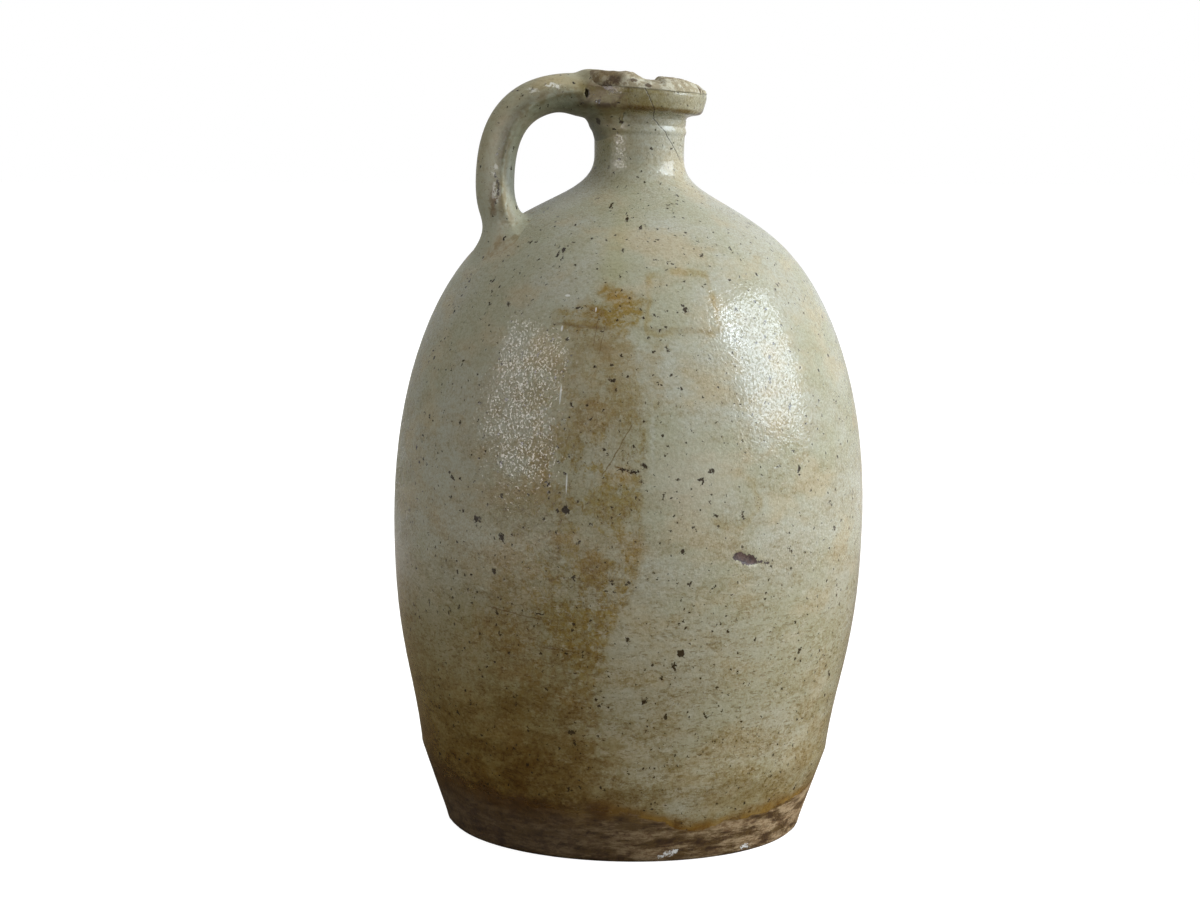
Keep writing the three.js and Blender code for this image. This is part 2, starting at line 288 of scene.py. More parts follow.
LUMP_SIZE = 75
LUMP_STRETCH = (1, 1, 0.6)
LUMP_RISE = 0.55
DIMPLE_SIZE = 15
DIMPLE_RISE = 0.05
RING_PITCH = 8.5
RING_RISE = 0.035
RING_WANDER = 3  # in radians
WANDER_SIZE = 60
RING_BREAK_SIZE = 40
NECK_FADE = (3, 20)  # below the neck's top, which stays true for the collar
FOOT_WEAR = 0.7
FOOT_WEAR_SIZE = 9
FOOT_NICK_SIZE = 4
FOOT_NICKS = 0.6
HANDLE_JOINTS = ((-64, 0, 288), (-26, 0, 338))  # the surface stays true here, for the handle's fillets
JOINT_CLEAR = 26
JOINT_FADE = 26


def chip_share(points):
    """1 at the middle of the chip in the belly's glaze, 0 at its edge and beyond."""
    angle = np.arctan2(points[:, 1], points[:, 0]) - FRONT - CHIP_ANGLE
    along = np.angle(np.exp(1j * angle)) * BELLY_RADIUS
    up = points[:, 2] - CHIP_HEIGHT
    length = along * math.cos(CHIP_SLOPE) + up * math.sin(CHIP_SLOPE)
    width = up * math.cos(CHIP_SLOPE) - along * math.sin(CHIP_SLOPE)
    return np.clip(1 - (length / CHIP_HALF_LENGTH) ** 2 - (width / CHIP_HALF_WIDTH) ** 2, 0, 1)


def hand_marks(points):
    """How far the thrown and fired surface stands out from the true outline."""
    flat = points * LUMP_STRETCH
    rise = LUMP_RISE * lumps(flat, LUMP_SIZE) + DIMPLE_RISE * lumps(points, DIMPLE_SIZE)
    turn = np.arctan2(points[:, 1], points[:, 0])
    wander = RING_WANDER * lumps(points, WANDER_SIZE)
    strength = 0.5 + 0.5 * lumps(points, RING_BREAK_SIZE)
    rise += RING_RISE * strength * np.sin(2 * np.pi * points[:, 2] / RING_PITCH + turn + wander)
    for joint in HANDLE_JOINTS:
        distance = np.linalg.norm(points - joint, axis=1)
        rise *= smoothstep(distance, JOINT_CLEAR, JOINT_CLEAR + JOINT_FADE)
    rise *= smoothstep(NECK_TOP_HEIGHT - points[:, 2], *NECK_FADE)
    foot = 1 - smoothstep(points[:, 2], FOOT_CORNER, 3 * FOOT_CORNER)
    worn = lumps(points, FOOT_WEAR_SIZE) + FOOT_NICKS * lumps(points, FOOT_NICK_SIZE)
    rise -= foot * FOOT_WEAR * np.clip(worn, 0, 1)
    rise *= smoothstep(points[:, 2], 0, FOOT_CORNER / 2)
    return rise - CHIP_DEPTH * np.sqrt(chip_share(points))


def make_vessel():
    def step_at(height):
        if height > NECK_TOP_HEIGHT - NECK_FINE:
            return NECK_STEP
        return FINE_STEP if abs(height - CHIP_HEIGHT) < FINE_BAND else ROW_STEP

    outside = walk(wall_outline(), step_at)
    chip = FRONT + CHIP_ANGLE
    fine = math.asin((CHIP_HALF_LENGTH + 1) / BELLY_RADIUS)
    angles = np.concatenate(
        [
            np.arange(chip - fine, chip + fine, FINE_COLUMN_STEP),
            np.arange(chip + fine, chip - fine + 2 * math.pi - COLUMN_STEP / 2, COLUMN_STEP),
        ]
    )
    skin = turned(outside, angles)
    outward = turned(normals(outside), angles)
    shape = skin.shape
    skin = skin.reshape(-1, 3)
    skin += outward.reshape(-1, 3) * hand_marks(skin)[:, None]

    curve = thrown_curve()
    thickness = np.linspace(WALL, NECK_WALL, len(curve))[:, None]
    wall = (curve - normals(curve) * thickness)[::-1]
    floor_radius = FOOT_RADIUS - WALL
    corner_start = (floor_radius + FLOOR_CORNER * math.tan(TRIM_LEAN), FLOOR + FLOOR_CORNER)
    corner_end = (floor_radius - FLOOR_CORNER, FLOOR)
    corner = bezier([corner_start, (floor_radius, FLOOR), corner_end], 6)
    bore_top = np.array([[BORE_RADIUS, NECK_TOP_HEIGHT]])
    inside = walk(join(bore_top, wall, corner), lambda height: INSIDE_STEP)

    points = np.vstack([skin, turned(inside, angles).reshape(-1, 3)])
    rows = shape[0] + len(inside)
    columns = shape[1]
    faces = grid_faces(rows, columns, closed=False)
    foot_pole = len(points)
    floor_pole = foot_pole + 1
    points = settle(np.vstack([points, [[0, 0, 0], [0, 0, FLOOR]]]))
    last = (rows - 1) * columns
    for column in range(columns):
        beside = (column + 1) % columns
        faces.append((foot_pole, beside, column))
        faces.append((floor_pole, last + column, last + beside))
    piece = mesh_object("jug_vessel", points, faces)
    first_inside = shape[0] * columns
    for face in piece.data.polygons:
        face.material_index = int(min(face.vertices) >= first_inside)
    return piece


# Mouth collar

# Height of the rim above its nominal level, by azimuth in degrees: high beside the handle, chipped at
# the front, worn down on the far side
RIM_RISE = (
    (-180, 0.0), (-150, 0.3), (-132, 0.3), (-122, 0.0), (-115, -1.2), (-108, -2.3), (-97, -2.6), (-89, -2.5),
    (-85, -0.9), (-70, -0.7), (-58, -1.0), (-45, -1.9), (-30, -2.4), (0, -2.4), (30, -2.4), (60, -2.8),
    (90, -3.0), (112, -2.6), (128, -0.9), (150, -0.3), (180, 0.0),
)
FRACTURE_ANGLE = math.radians(28)  # from front, the middle of the band where the glaze broke away
FRACTURE_HALF = math.radians(78)
FRACTURE_DEPTH = 0.7  # at its foot
FRACTURE_LEAN = 0.42  # how fast it falls back as it rises
FRACTURE_ROUGH = 0.5
FRACTURE_SOFT = 0.12  # radians over which it fades out at each end
FRACTURE_FOOT = (0.1, 1.2)  # above the groove, where it sets in
FACET_SIZE = 6
SMALL_FACET_SIZE = 2.4
PATCH_SIZE = 22  # of other places where the band broke
PATCH_LEVELS = (0.1, 0.45)
WHOLE_BY_HANDLE = (0.45, 0.8)  # radians from the handle's middle
SWELL_SIZE = 14
SWELL_RISE = 0.08
RIM_WEAR_SIZE = 7
RIM_WEAR_RISE = 0.35
RIM_NICK_SIZE = 3
RIM_NICK_RISE = 0.2
SPARED_BY_HANDLE = 0.6  # share of the rim's wear that is missing beside the handle
COLLAR_STEP = 0.65
COLLAR_COLUMNS = 230


def collar_outline():
    """The collar's section: a closed loop that starts under the neck's skin and goes round the outside."""
    bead = COLLAR_RADIUS - BEAD_SET_BACK
    neck = NECK_TOP_RADIUS
    groove = bead + 0.5 - GROOVE_DEPTH
    band_foot = (COLLAR_RADIUS, GROOVE_LEVEL + 2)
    lip_end = (COLLAR_RADIUS - LIP_ROUND, COLLAR_HEIGHT)
    flare = (BORE_RADIUS + MOUTH_FLARE, COLLAR_HEIGHT)
    bore = BORE_RADIUS - 0.2  # just inside the vessel's
    seat = bezier([(neck - 1.5, -SKIRT), (neck - 0.6, -1.0), (neck, 0), (neck + 0.3, 0.7)], 6)
    hollow = bezier([(neck + 0.3, 0.7), (neck + 0.9, 1.8), (bead - 5, 2.0), (bead - 2.6, 2.7)], 8)
    turn_up = bezier([(bead - 2.6, 2.7), (bead - 1.3, 3.1), (bead - 0.8, 4.2), (bead - 0.5, 5.6)], 10)
    bead_top = bezier([(bead - 0.5, 5.6), (bead + 0.1, 8.4), (bead + 1.0, 11.6), (groove, GROOVE_LEVEL)], 12)
    band = bezier([(groove, GROOVE_LEVEL), (bead + 0.6, 12.9), (COLLAR_RADIUS, 13.4), band_foot], 6)
    lip = bezier([band_foot, (COLLAR_RADIUS, 18.6), (COLLAR_RADIUS - 3, COLLAR_HEIGHT), lip_end], 12)
    mouth = bezier([flare, (BORE_RADIUS, COLLAR_HEIGHT), (bore, COLLAR_HEIGHT - MOUTH_DEPTH)], 8)
    end = np.array([[bore, -SKIRT]])
    return join(seat, hollow, turn_up, bead_top, band, lip, mouth, end)


def rim_rise(angles):
    degrees = np.degrees(np.angle(np.exp(1j * angles)))
    table = np.array(RIM_RISE)
    return np.interp(degrees, table[:, 0], table[:, 1])


def make_collar():
    outline = walk(collar_outline(), lambda height: COLLAR_STEP)
    angles = np.linspace(0, 2 * math.pi, COLLAR_COLUMNS, endpoint=False)
    points = turned(outline, angles)
    outward = turned(normals(outline), angles)
    rows, columns = points.shape[:2]
    points = points.reshape(-1, 3)
    outward = outward.reshape(-1, 3)
    turn = np.arctan2(points[:, 1], points[:, 0])
    from_fracture = np.abs(np.angle(np.exp(1j * (turn - FRONT - FRACTURE_ANGLE))))
    broken = 1 - smoothstep(from_fracture, FRACTURE_HALF - FRACTURE_SOFT, FRACTURE_HALF + FRACTURE_SOFT)
    broken = np.maximum(broken, smoothstep(lumps(points, PATCH_SIZE), *PATCH_LEVELS))
    foot_low, foot_high = FRACTURE_FOOT
    upper = smoothstep(points[:, 2], GROOVE_LEVEL + foot_low, GROOVE_LEVEL + foot_high)
    outer = smoothstep(np.hypot(points[:, 0], points[:, 1]), BORE_RADIUS + 2, BORE_RADIUS + 6)
    near_handle = 1 - smoothstep(np.abs(np.abs(turn) - math.pi), *WHOLE_BY_HANDLE)
    broken *= upper * outer * (1 - near_handle)
    facets = lumps(points, FACET_SIZE) + 0.5 * lumps(points, SMALL_FACET_SIZE)
    fallen = FRACTURE_DEPTH + FRACTURE_LEAN * (points[:, 2] - GROOVE_LEVEL)
    rough = broken * FRACTURE_ROUGH * facets - SWELL_RISE * lumps(points, SWELL_SIZE)
    points -= outward * rough[:, None]
    points[:, :2] *= 1 - (broken * fallen / COLLAR_RADIUS)[:, None]
    worn = rim_rise(turn)
    worn = worn + RIM_WEAR_RISE * lumps(points, RIM_WEAR_SIZE) + RIM_NICK_RISE * lumps(points, RIM_NICK_SIZE)
    at_rim = smoothstep(points[:, 2], GROOVE_LEVEL + 1, COLLAR_HEIGHT - 1.5)
    points[:, 2] += worn * (1 - SPARED_BY_HANDLE * near_handle) * at_rim
    return mesh_object("jug_collar", collar_place(points), grid_faces(rows, columns, closed=True))


# Strap handle, as the skin of a field of distances in which the strap melts into what it is luted to

VOXEL = 0.75
FIELD_LOW = (-88, 0, 262)  # the field is worked out for one half and mirrored
FIELD_HIGH = (-12, 32, 374)
SINK = 0.9  # how far the handle's clay goes on under the surface that it is luted to
SKIN = 0.04  # how far below that surface a fillet thins out
EDGE_DIP = 0.4  # and how much further its edge goes
NECK_FILLET = 16
SHOULDER_FILLET = 7
FOOT_FILLET = 13
LIP_FILLET = 4
COLLAR_MELT = 2  # how far the collar and the neck run into each other under the handle
JOINT_HEIGHTS = (308, 332)  # where the lower joint's fillets give way to the upper joint's
VESSEL_FLOOR = 225  # the vessel below this is too far from the handle to matter
EDGE_SHARE = (0.7, 0.95)  # of the strap's half width, where its edge sets in
LEAST_SLOPE = 0.06  # of the strap's level, near its middle
SIDE_BLEND = 0.7  # share of the strap's half thickness over which one side's fillet becomes the other's
DIP_SHARE = (0.45, 0.95)  # of a fillet's reach, where its edge dips
# A crest along each edge of the strap and a crease on its finger side, in shares of the strap's half sizes
CREST = 0.07
CREST_PLACE = 0.08
CREST_WIDTH = 0.14
CREASE = 0.05
CREASE_PLACE = -0.25
# Where glaze and clay broke off the strap's ridge: middle and half sizes
RIDGE_CHIPS = (
    ((-44, -13.8, 358.8), (5, 1.5, 1.2)),
    ((-57, -13.8, 356.6), (6.5, 1.3, 1.4)),
    ((-72.4, -13.9, 319.0), (1.2, 1.4, 3.6)),
    ((-71.8, -13.8, 308.5), (1.7, 1.5, 6.0)),
    ((-28.6, -13.6, 355.0), (1.0, 1.6, 2.4)),
)
# Dark cracks and pits beside those chips, and where the handle meets the neck
RIDGE_CRACKS = (
    ((-53.2, -13.5, 358.2), (0.9, 3, 1.5)),
    ((-48.2, -13.5, 359.8), (0.9, 3, 0.8)),
    ((-72.1, -13.5, 316.2), (0.5, 3, 1.7)),
    ((-71.4, -13.5, 312.6), (0.6, 3, 2.2)),
    ((-71.0, -13.5, 308.8), (0.5, 3, 2.0)),
    ((-28.6, -13.5, 355.0), (0.9, 3, 2.3)),
    ((-21.2, -9.0, 341.3), (1.0, 2.2, 2.2)),
    ((-22.3, -12.5, 341.4), (1.0, 2.2, 2.2)),
    ((-23.4, -16.0, 341.5), (1.0, 2.2, 2.2)),
)


def outline_distance(outline, radius, height):
    """How far places in a half plane are from a closed outline, negative inside it."""
    nearest = np.full(radius.shape, np.inf)
    inside = np.zeros(radius.shape, bool)
    for start, end in zip(outline, np.roll(outline, -1, axis=0)):
        along = end - start
        length = along @ along
        share = np.clip(((radius - start[0]) * along[0] + (height - start[1]) * along[1]) / length, 0, 1)
        gap = (radius - start[0] - share * along[0]) ** 2 + (height - start[1] - share * along[1]) ** 2
        nearest = np.minimum(nearest, gap)
        if start[1] != end[1]:
            crosses = (start[1] <= height) != (end[1] <= height)
            edge = start[0] + (height - start[1]) * along[0] / along[1]
            inside ^= crosses & (radius < edge)
    return np.where(inside, -1, 1) * np.sqrt(nearest)


def vessel_distance(points):
    place = points.copy()
    place[:, 0] -= NECK_OFFSET * smoothstep(points[:, 2], SHOULDER_HEIGHT, NECK_HEIGHT)
    upright = smoothstep(points[:, 2], NECK_HEIGHT, NECK_TOP_HEIGHT)
    place[:, 2] += place[:, 0] * math.tan(MOUTH_TILT) * upright
    upper = walk(wall_outline(), lambda height: ROW_STEP)
    upper = upper[upper[:, 1] > VESSEL_FLOOR]
    room = np.vstack([[0, upper[0, 1]], upper, [0, NECK_TOP_HEIGHT]])
    return outline_distance(room, np.hypot(place[:, 0], place[:, 1]), place[:, 2])


def collar_distance(points):
    place = collar_local(points)
    return outline_distance(collar_outline(), np.hypot(place[:, 0], place[:, 1]), place[:, 2])


def melt(first, second, reach):
    """The lesser of two fields, rounded over where they are within reach of each other."""
    share = np.maximum(reach - np.abs(first - second), 0) / reach
    return np.minimum(first, second) - share * share * reach / 4


def strap_line():
    """The strap's middle line in the XZ plane, from inside the collar to inside the shoulder."""
    curve = thrown_curve()
    falling = curve[np.argmax(curve[:, 0]):]
    foot_height = np.interp(-HANDLE_FOOT_RADIUS, -falling[:, 0], falling[:, 1])
    top_height = NECK_TOP_HEIGHT + HANDLE_LEVEL
    reach_height = top_height - HANDLE_DROP
    collar = NECK_OFFSET - COLLAR_RADIUS
    foot = np.array((-HANDLE_FOOT_RADIUS, foot_height))
    down = np.array((math.sin(HANDLE_FOOT_LEAN), -math.cos(HANDLE_FOOT_LEAN)))
    top = (collar, top_height)
    reach = (-HANDLE_REACH, reach_height)
    above_reach = (-HANDLE_REACH, reach_height + REACH_PULL_UP)
    below_reach = (-HANDLE_REACH, reach_height - REACH_PULL_DOWN)
    return join(
        bezier([(collar + EMBED, top_height), top], 30),
        bezier([top, (collar - TOP_PULL, top_height), above_reach, reach], 220),
        bezier([reach, below_reach, foot - FOOT_PULL * down, foot], 120),
        bezier([foot, foot + EMBED * down], 30),
    )


def strap_field(x, y, z):
    """The strap's own field, and how far towards the outside of its bend each place lies."""
    line = strap_line()
    outward = normals(line)
    flat_x, flat_z = x[:, 0, :], z[:, 0, :]
    from_line = np.stack([flat_x.ravel(), flat_z.ravel()], 1)
    nearest = np.array([np.argmin(((line - place) ** 2).sum(1)) for place in from_line])
    gap = from_line - line[nearest]
    side = np.sign((gap * outward[nearest]).sum(1))
    rise = (side * np.hypot(*gap.T)).reshape(flat_x.shape)[:, None, :] / (STRAP_THICKNESS / 2)
    width = y / (STRAP_WIDTH / 2)
    power = 2 / STRAP_EDGE
    level = width**2 + np.abs(rise) ** power - 1
    at_edge = smoothstep(np.abs(width), *EDGE_SHARE)
    level = level - at_edge * CREST * np.exp(-((rise - CREST_PLACE) / CREST_WIDTH) ** 2)
    level = level + at_edge * CREASE * np.exp(-((rise - CREASE_PLACE) / CREST_WIDTH) ** 2)
    slope_y = 2 * width / (STRAP_WIDTH / 2)
    slope_n = power * np.abs(rise) ** (power - 1) / (STRAP_THICKNESS / 2)
    steepness = np.maximum(np.hypot(slope_y, slope_n), LEAST_SLOPE)
    return level / steepness, np.clip(np.broadcast_to(rise, level.shape), -1, 1)


def make_handle():
    axes = [np.arange(low, high, VOXEL) for low, high in zip(FIELD_LOW, FIELD_HIGH)]
    x, y, z = np.meshgrid(*axes, indexing="ij")
    strap, side = strap_field(x, y, z)
    points = np.stack([x.ravel(), y.ravel(), z.ravel()], 1)
    body = melt(vessel_distance(points), collar_distance(points), COLLAR_MELT).reshape(x.shape)
    at_top = smoothstep(z, *JOINT_HEIGHTS)
    finger = SHOULDER_FILLET + (NECK_FILLET - SHOULDER_FILLET) * at_top
    outer = FOOT_FILLET + (LIP_FILLET - FOOT_FILLET) * at_top
    reach = finger + (outer - finger) * smoothstep(side, -SIDE_BLEND, SIDE_BLEND)
    dip_start, dip_end = DIP_SHARE
    dip = EDGE_DIP * smoothstep(strap, dip_start * reach, dip_end * reach)
    joined = melt(strap, body, reach) + SKIN + dip
    clay = np.maximum(np.maximum(joined, -(body + SINK)), strap - reach - 1)
    clay, x, y, z = (
        np.concatenate([sign * half[:, :0:-1], half], axis=1)
        for sign, half in ((1, clay), (1, x), (-1, y), (1, z))
    )
    for middle, half in RIDGE_CHIPS:
        gap = [(axis - place) / size for axis, place, size in zip((x, y, z), middle, half)]
        dent = (1 - np.sqrt(gap[0] ** 2 + gap[1] ** 2 + gap[2] ** 2)) * min(half)
        clay = np.maximum(clay, dent)
    grid = openvdb.FloatGrid()
    grid.copyFromArray(clay)
    skin, quads = grid.convertToQuads(0.0)
    skin = skin * VOXEL + (x.min(), y.min(), z.min())
    return mesh_object("jug_handle", skin, [tuple(face) for face in quads.tolist()])


# Materials

def worked_by(operation):
    """A method of Wire that adds the node for one operation on it and another number."""
    return lambda wire, other: wire.graph.math(operation, wire, other)


class Wire:
    """One number in a node tree: arithmetic on it adds the nodes that work it out."""

    __add__ = worked_by("ADD")
    __sub__ = worked_by("SUBTRACT")
    __mul__ = worked_by("MULTIPLY")
    __rmul__ = __mul__
    __truediv__ = worked_by("DIVIDE")
    over = worked_by("MAXIMUM")  # the greater of two masks

    def __init__(self, graph, socket):
        self.graph = graph
        self.socket = socket

    def __rsub__(self, other):
        return self.graph.math("SUBTRACT", other, self)

    def __abs__(self):
        return self.graph.math("ABSOLUTE", self)

    def smooth(self, low, high):
        """0 at low and 1 at high, with soft ends; low may be the greater of the two."""
        inputs = {"Value": self, "From Min": low, "From Max": high}
        node = self.graph.add("MapRange", inputs, interpolation_type="SMOOTHSTEP")
        return Wire(self.graph, node.outputs["Result"])


class Graph:
    """The node tree of a material or world, cleared, with short ways to add nodes to it."""

    def __init__(self, owner):
        owner.use_nodes = True
        self.tree = owner.node_tree
        self.tree.nodes.clear()

    def add(self, kind, inputs=None, **settings):
        node = self.tree.nodes.new("ShaderNode" + kind)
        for name, value in settings.items():
            setattr(node, name, value)
        for name, value in (inputs or {}).items():
            self.feed(node.inputs[name], value)
        return node

    def feed(self, socket, value):
        """Links a socket to a wire or an output, or sets it to a plain value."""
        if isinstance(value, Wire):
            value = value.socket
        if isinstance(value, bpy.types.NodeSocket):
            self.tree.links.new(value, socket)
        elif socket.type == "RGBA":
            socket.default_value = (*value, 1)
        else:
            socket.default_value = value

    def math(self, operation, first, second=0.0):
        return Wire(self, self.add("Math", {0: first, 1: second}, operation=operation).outputs[0])

    def vector(self, operation, first, second):
        return self.add("VectorMath", {0: first, 1: second}, operation=operation).outputs["Vector"]

    def measure(self, operation, first, second=(0, 0, 0)):
        """One number from vectors: a length, a distance or a dot product."""
        node = self.add("VectorMath", {0: first, 1: second}, operation=operation)
        return Wire(self, node.outputs["Value"])

    def split(self, vector):
        return [Wire(self, output) for output in self.add("SeparateXYZ", {"Vector": vector}).outputs]

    def mix(self, share, first, second):
        """The first shader where share is 0 and the second where it is 1."""
        return self.add("MixShader", {0: share, 1: first, 2: second}).outputs[0]


class Finish(Graph):
    """A material that is built up in layers of paint and stain, by place on the jug."""

    def __init__(self, name, colour, roughness):
        self.material = bpy.data.materials.new(name)
        super().__init__(self.material)
        self.place = self.add("TexCoord").outputs["Object"]
        x, self.y, self.z = self.split(self.place)
        right = x * -math.sin(FRONT) + self.y * math.cos(FRONT)
        ahead = x * math.cos(FRONT) + self.y * math.sin(FRONT)
        self.angle = self.math("ARCTAN2", right, ahead)
        self.side = self.math("SINE", self.angle)  # from -1 on the left to 1 on the right, without a seam
        self.colour = colour
        self.roughness = roughness
        self.height = None

    def noise_node(self, size, detail, rough, flat):
        scaled = self.vector("MULTIPLY", self.place, (1 / size, 1 / size, flat / size))
        inputs = {"Vector": scaled, "Scale": 1.0, "Detail": detail, "Roughness": rough}
        return self.add("TexNoise", inputs)

    def noise(self, size, detail=2.0, rough=0.5, flat=1.0):
        """Cloudy noise about 0.5, whose blots are about as wide as size, and flat times wider than tall."""
        return Wire(self, self.noise_node(size, detail, rough, flat).outputs[0])

    def wobbled(self, place, size, amount):
        """A place pushed about by noise, to roughen the edges of what is drawn there."""
        push = self.noise_node(size, 3.0, 0.6, 1.0).outputs[1]
        centred = self.vector("SUBTRACT", push, (0.5, 0.5, 0.5))
        scaled = self.vector("MULTIPLY", centred, (2 * amount,) * 3)
        return self.vector("ADD", place, scaled)

    def profile(self, value, stops):
        """A number read off straight lines between stops of (value, number)."""
        low, high = stops[0][0], stops[-1][0]
        least = min(number for _, number in stops)
        most = max(number for _, number in stops)
        share = (value - low) / (high - low)
        ramp = self.add("ValToRGB", {"Fac": share})
        elements = ramp.color_ramp.elements
        while len(elements) < len(stops):
            elements.new(0.5)
        for element, (place, _) in zip(elements, stops):
            element.position = (place - low) / (high - low)
        for element, (_, number) in zip(elements, stops):
            level = (number - least) / (most - least)
            element.color = (level, level, level, 1)
        return Wire(self, ramp.outputs["Color"]) * (most - least) + least

    def cells(self, place, cell, **settings):
        """A random pattern of cells about as wide as cell."""
        scaled = self.vector("MULTIPLY", place, (1 / cell,) * 3)
        return self.add("TexVoronoi", {"Vector": scaled, "Scale": 1.0}, **settings)

    def specks(self, cell, largest, share, place):
        """Spots of many sizes and strengths in a share of the cells of a random pattern."""
        cells = self.cells(place, cell)
        split = self.add("SeparateColor", {"Color": cells.outputs["Color"]})
        chance, size, strength = (Wire(self, output) for output in split.outputs)
        present = self.math("LESS_THAN", chance, share)
        radius = (size * size * 0.6 + 0.4) * (largest / cell)
        edge = Wire(self, cells.outputs["Distance"]) / radius
        return edge.smooth(1.1, 0.75) * present * (strength * 0.08 + 0.92)

    def cracks(self, cell, width, place):
        """Thin lines between the cells of a random pattern."""
        cells = self.cells(place, cell, feature="DISTANCE_TO_EDGE")
        return Wire(self, cells.outputs["Distance"]).smooth(width / cell, 0.3 * width / cell)

    def spot(self, place, middle, half, soft=0.3):
        """A soft-edged oval about a middle."""
        gap = self.vector("SUBTRACT", place, middle)
        scaled = self.vector("MULTIPLY", gap, tuple(1 / size for size in half))
        return self.measure("LENGTH", scaled).smooth(1 + soft, 1 - soft)

    def spots(self, place, ovals, soft=0.3):
        """Several soft-edged ovals, each given by its middle and half sizes."""
        return reduce(Wire.over, [self.spot(place, *oval, soft) for oval in ovals])

    def paint(self, mask, colour):
        self.blend("MIX", mask, colour)

    def stain(self, mask, tint):
        self.blend("MULTIPLY", mask, tint)

    def blend(self, kind, mask, colour):
        inputs = {0: mask, 6: self.colour, 7: colour}
        self.colour = self.add("Mix", inputs, data_type="RGBA", blend_type=kind).outputs[2]

    def roughen(self, mask, roughness):
        """Moves the roughness to another one by the mask, up or down."""
        self.roughness = self.roughness + (roughness - self.roughness) * mask

    def build_up(self, mask, rise):
        layer = mask * rise
        self.height = layer if self.height is None else self.height + layer

    def done(self):
        bump = self.add("Bump", {"Height": self.height, "Strength": 1.0, "Distance": 1.0})
        inputs = {
            "Base Color": self.colour,
            "Roughness": self.roughness,
            "Normal": bump.outputs["Normal"],
            "IOR": GLAZE_IOR,
        }
        shader = self.add("BsdfPrincipled", inputs)
        self.add("OutputMaterial", {"Surface": shader.outputs["BSDF"]})
        return self.material


# Colours that are painted on
PALE = (0.335, 0.338, 0.275)
GREEN = (0.300, 0.303, 0.218)
CREAM = (0.345, 0.315, 0.218)
PALE_PATCH = (0.37, 0.35, 0.275)
SCUFF = (0.42, 0.40, 0.315)
SPECK = (0.021, 0.011, 0.003)
POOLED_GLAZE = (0.23, 0.135, 0.03)
CLAY = (0.078, 0.041, 0.006)
PALE_CLAY = (0.35, 0.255, 0.145)
# White of the plaster smears on the foot, and of the painted glints on the glaze
PLASTER_AND_GLINT_WHITE = (0.60, 0.60, 0.58)
CHIP_CLAY = (0.040, 0.025, 0.023)
CHIP_CORE = (0.105, 0.066, 0.055)
BROKEN_CLAY = (0.25, 0.215, 0.135)
BROKEN_GLAZE = (0.44, 0.425, 0.33)
RIM_CHIP = (0.055, 0.030, 0.010)
# Pale of the chips on the strap's ridge: broken glaze, with a painted highlight on it
RIDGE_CHIP_AND_GLINT = (0.58, 0.57, 0.51)
INSIDE_CLAY = (0.16, 0.11, 0.07)
INSIDE_PALE = (0.25, 0.19, 0.12)
# Tints that stains, and the painted shade in the groove, under the bead and on the strap's finger side,
# multiply the colour by
SAND = (0.67, 0.56, 0.34)
MEAL = (0.74, 0.68, 0.54)
DIRT = (0.70, 0.56, 0.30)
NECK_TINT = (0.90, 0.86, 0.72)
FINE_SPECK = (0.35, 0.25, 0.13)
WARM = (0.69, 0.51, 0.18)
PEPPER = (0.38, 0.24, 0.08)
FLECK = (0.38, 0.26, 0.11)
CRACKLE = (0.45, 0.3, 0.14)
BROWN_OLIVE = (0.67, 0.55, 0.25)
BROWN = (0.60, 0.46, 0.19)
OLIVE = (0.86, 0.82, 0.50)
ORANGE = (0.66, 0.445, 0.09)
SCRATCH = (0.40, 0.25, 0.08)
TAN = (0.84, 0.70, 0.44)
OCHRE = (0.62, 0.40, 0.14)
CLAY_PATCH = (0.50, 0.38, 0.24)
CLAY_STREAK = (0.48, 0.36, 0.20)
BEAD_STAIN = (0.58, 0.49, 0.24)
BEAD_SHADE = (0.42, 0.29, 0.11)
FRACTURE_DIRT = (0.40, 0.29, 0.16)
BESIDE_HANDLE = (0.42, 0.32, 0.17)
GROOVE_SHADE = (0.3, 0.2, 0.10)
RIM_STAIN = (0.66, 0.54, 0.37)
FINGER_SIDE_SHADE = (0.47, 0.51, 0.57)
RIDGE_STAIN = (0.66, 0.52, 0.30)
HANDLE_RUST = (0.45, 0.28, 0.11)
RIDGE_DIRT = (0.3, 0.2, 0.12)

GLAZE_IOR = 1.5
GLAZE_ROUGHNESS = 0.05
DIRTY_ROUGHNESS = 0.3
WORN_ROUGHNESS = 0.9
CHIP_ROUGHNESS = 0.35
CLAY_ROUGHNESS = 0.6
FRACTURE_ROUGHNESS = 0.95
HANDLE_ROUGHNESS = 0.6
RIDGE_ROUGHNESS = 0.5
INSIDE_ROUGHNESS = 0.7

# Marks on the vessel: degrees from front, height, half width and half height in millimetres
DARK_MARKS = (
    (-14.4, 303.4, 1.7, 1.2), (-13.0, 302.4, 0.9, 0.7), (-3.1, 297.6, 1.9, 1.1), (-3.8, 299.6, 0.7, 0.5),
    (-26.0, 283.5, 1.3, 1.3), (-27.5, 281.5, 1.0, 1.6), (-25.2, 280.2, 0.9, 0.7), (-28.6, 284.8, 0.7, 0.8),
    (-37.5, 162.0, 2.2, 1.6), (-14.4, 170.0, 1.6, 2.0), (-30.5, 155.0, 1.7, 1.2), (4.7, 82.0, 1.7, 1.3),
    (3.7, 190.3, 1.5, 1.3), (-1.4, 188.7, 3.0, 0.5), (1.2, 187.8, 2.4, 0.6), (13.0, 104.5, 1.6, 1.7),
    (11.6, 98.0, 0.9, 2.4), (15.6, 258.5, 1.6, 1.3), (-20.5, 121.0, 2.6, 0.5), (20.5, 168.0, 1.4, 0.9),
    (44.0, 186.0, 0.9, 1.6),
)
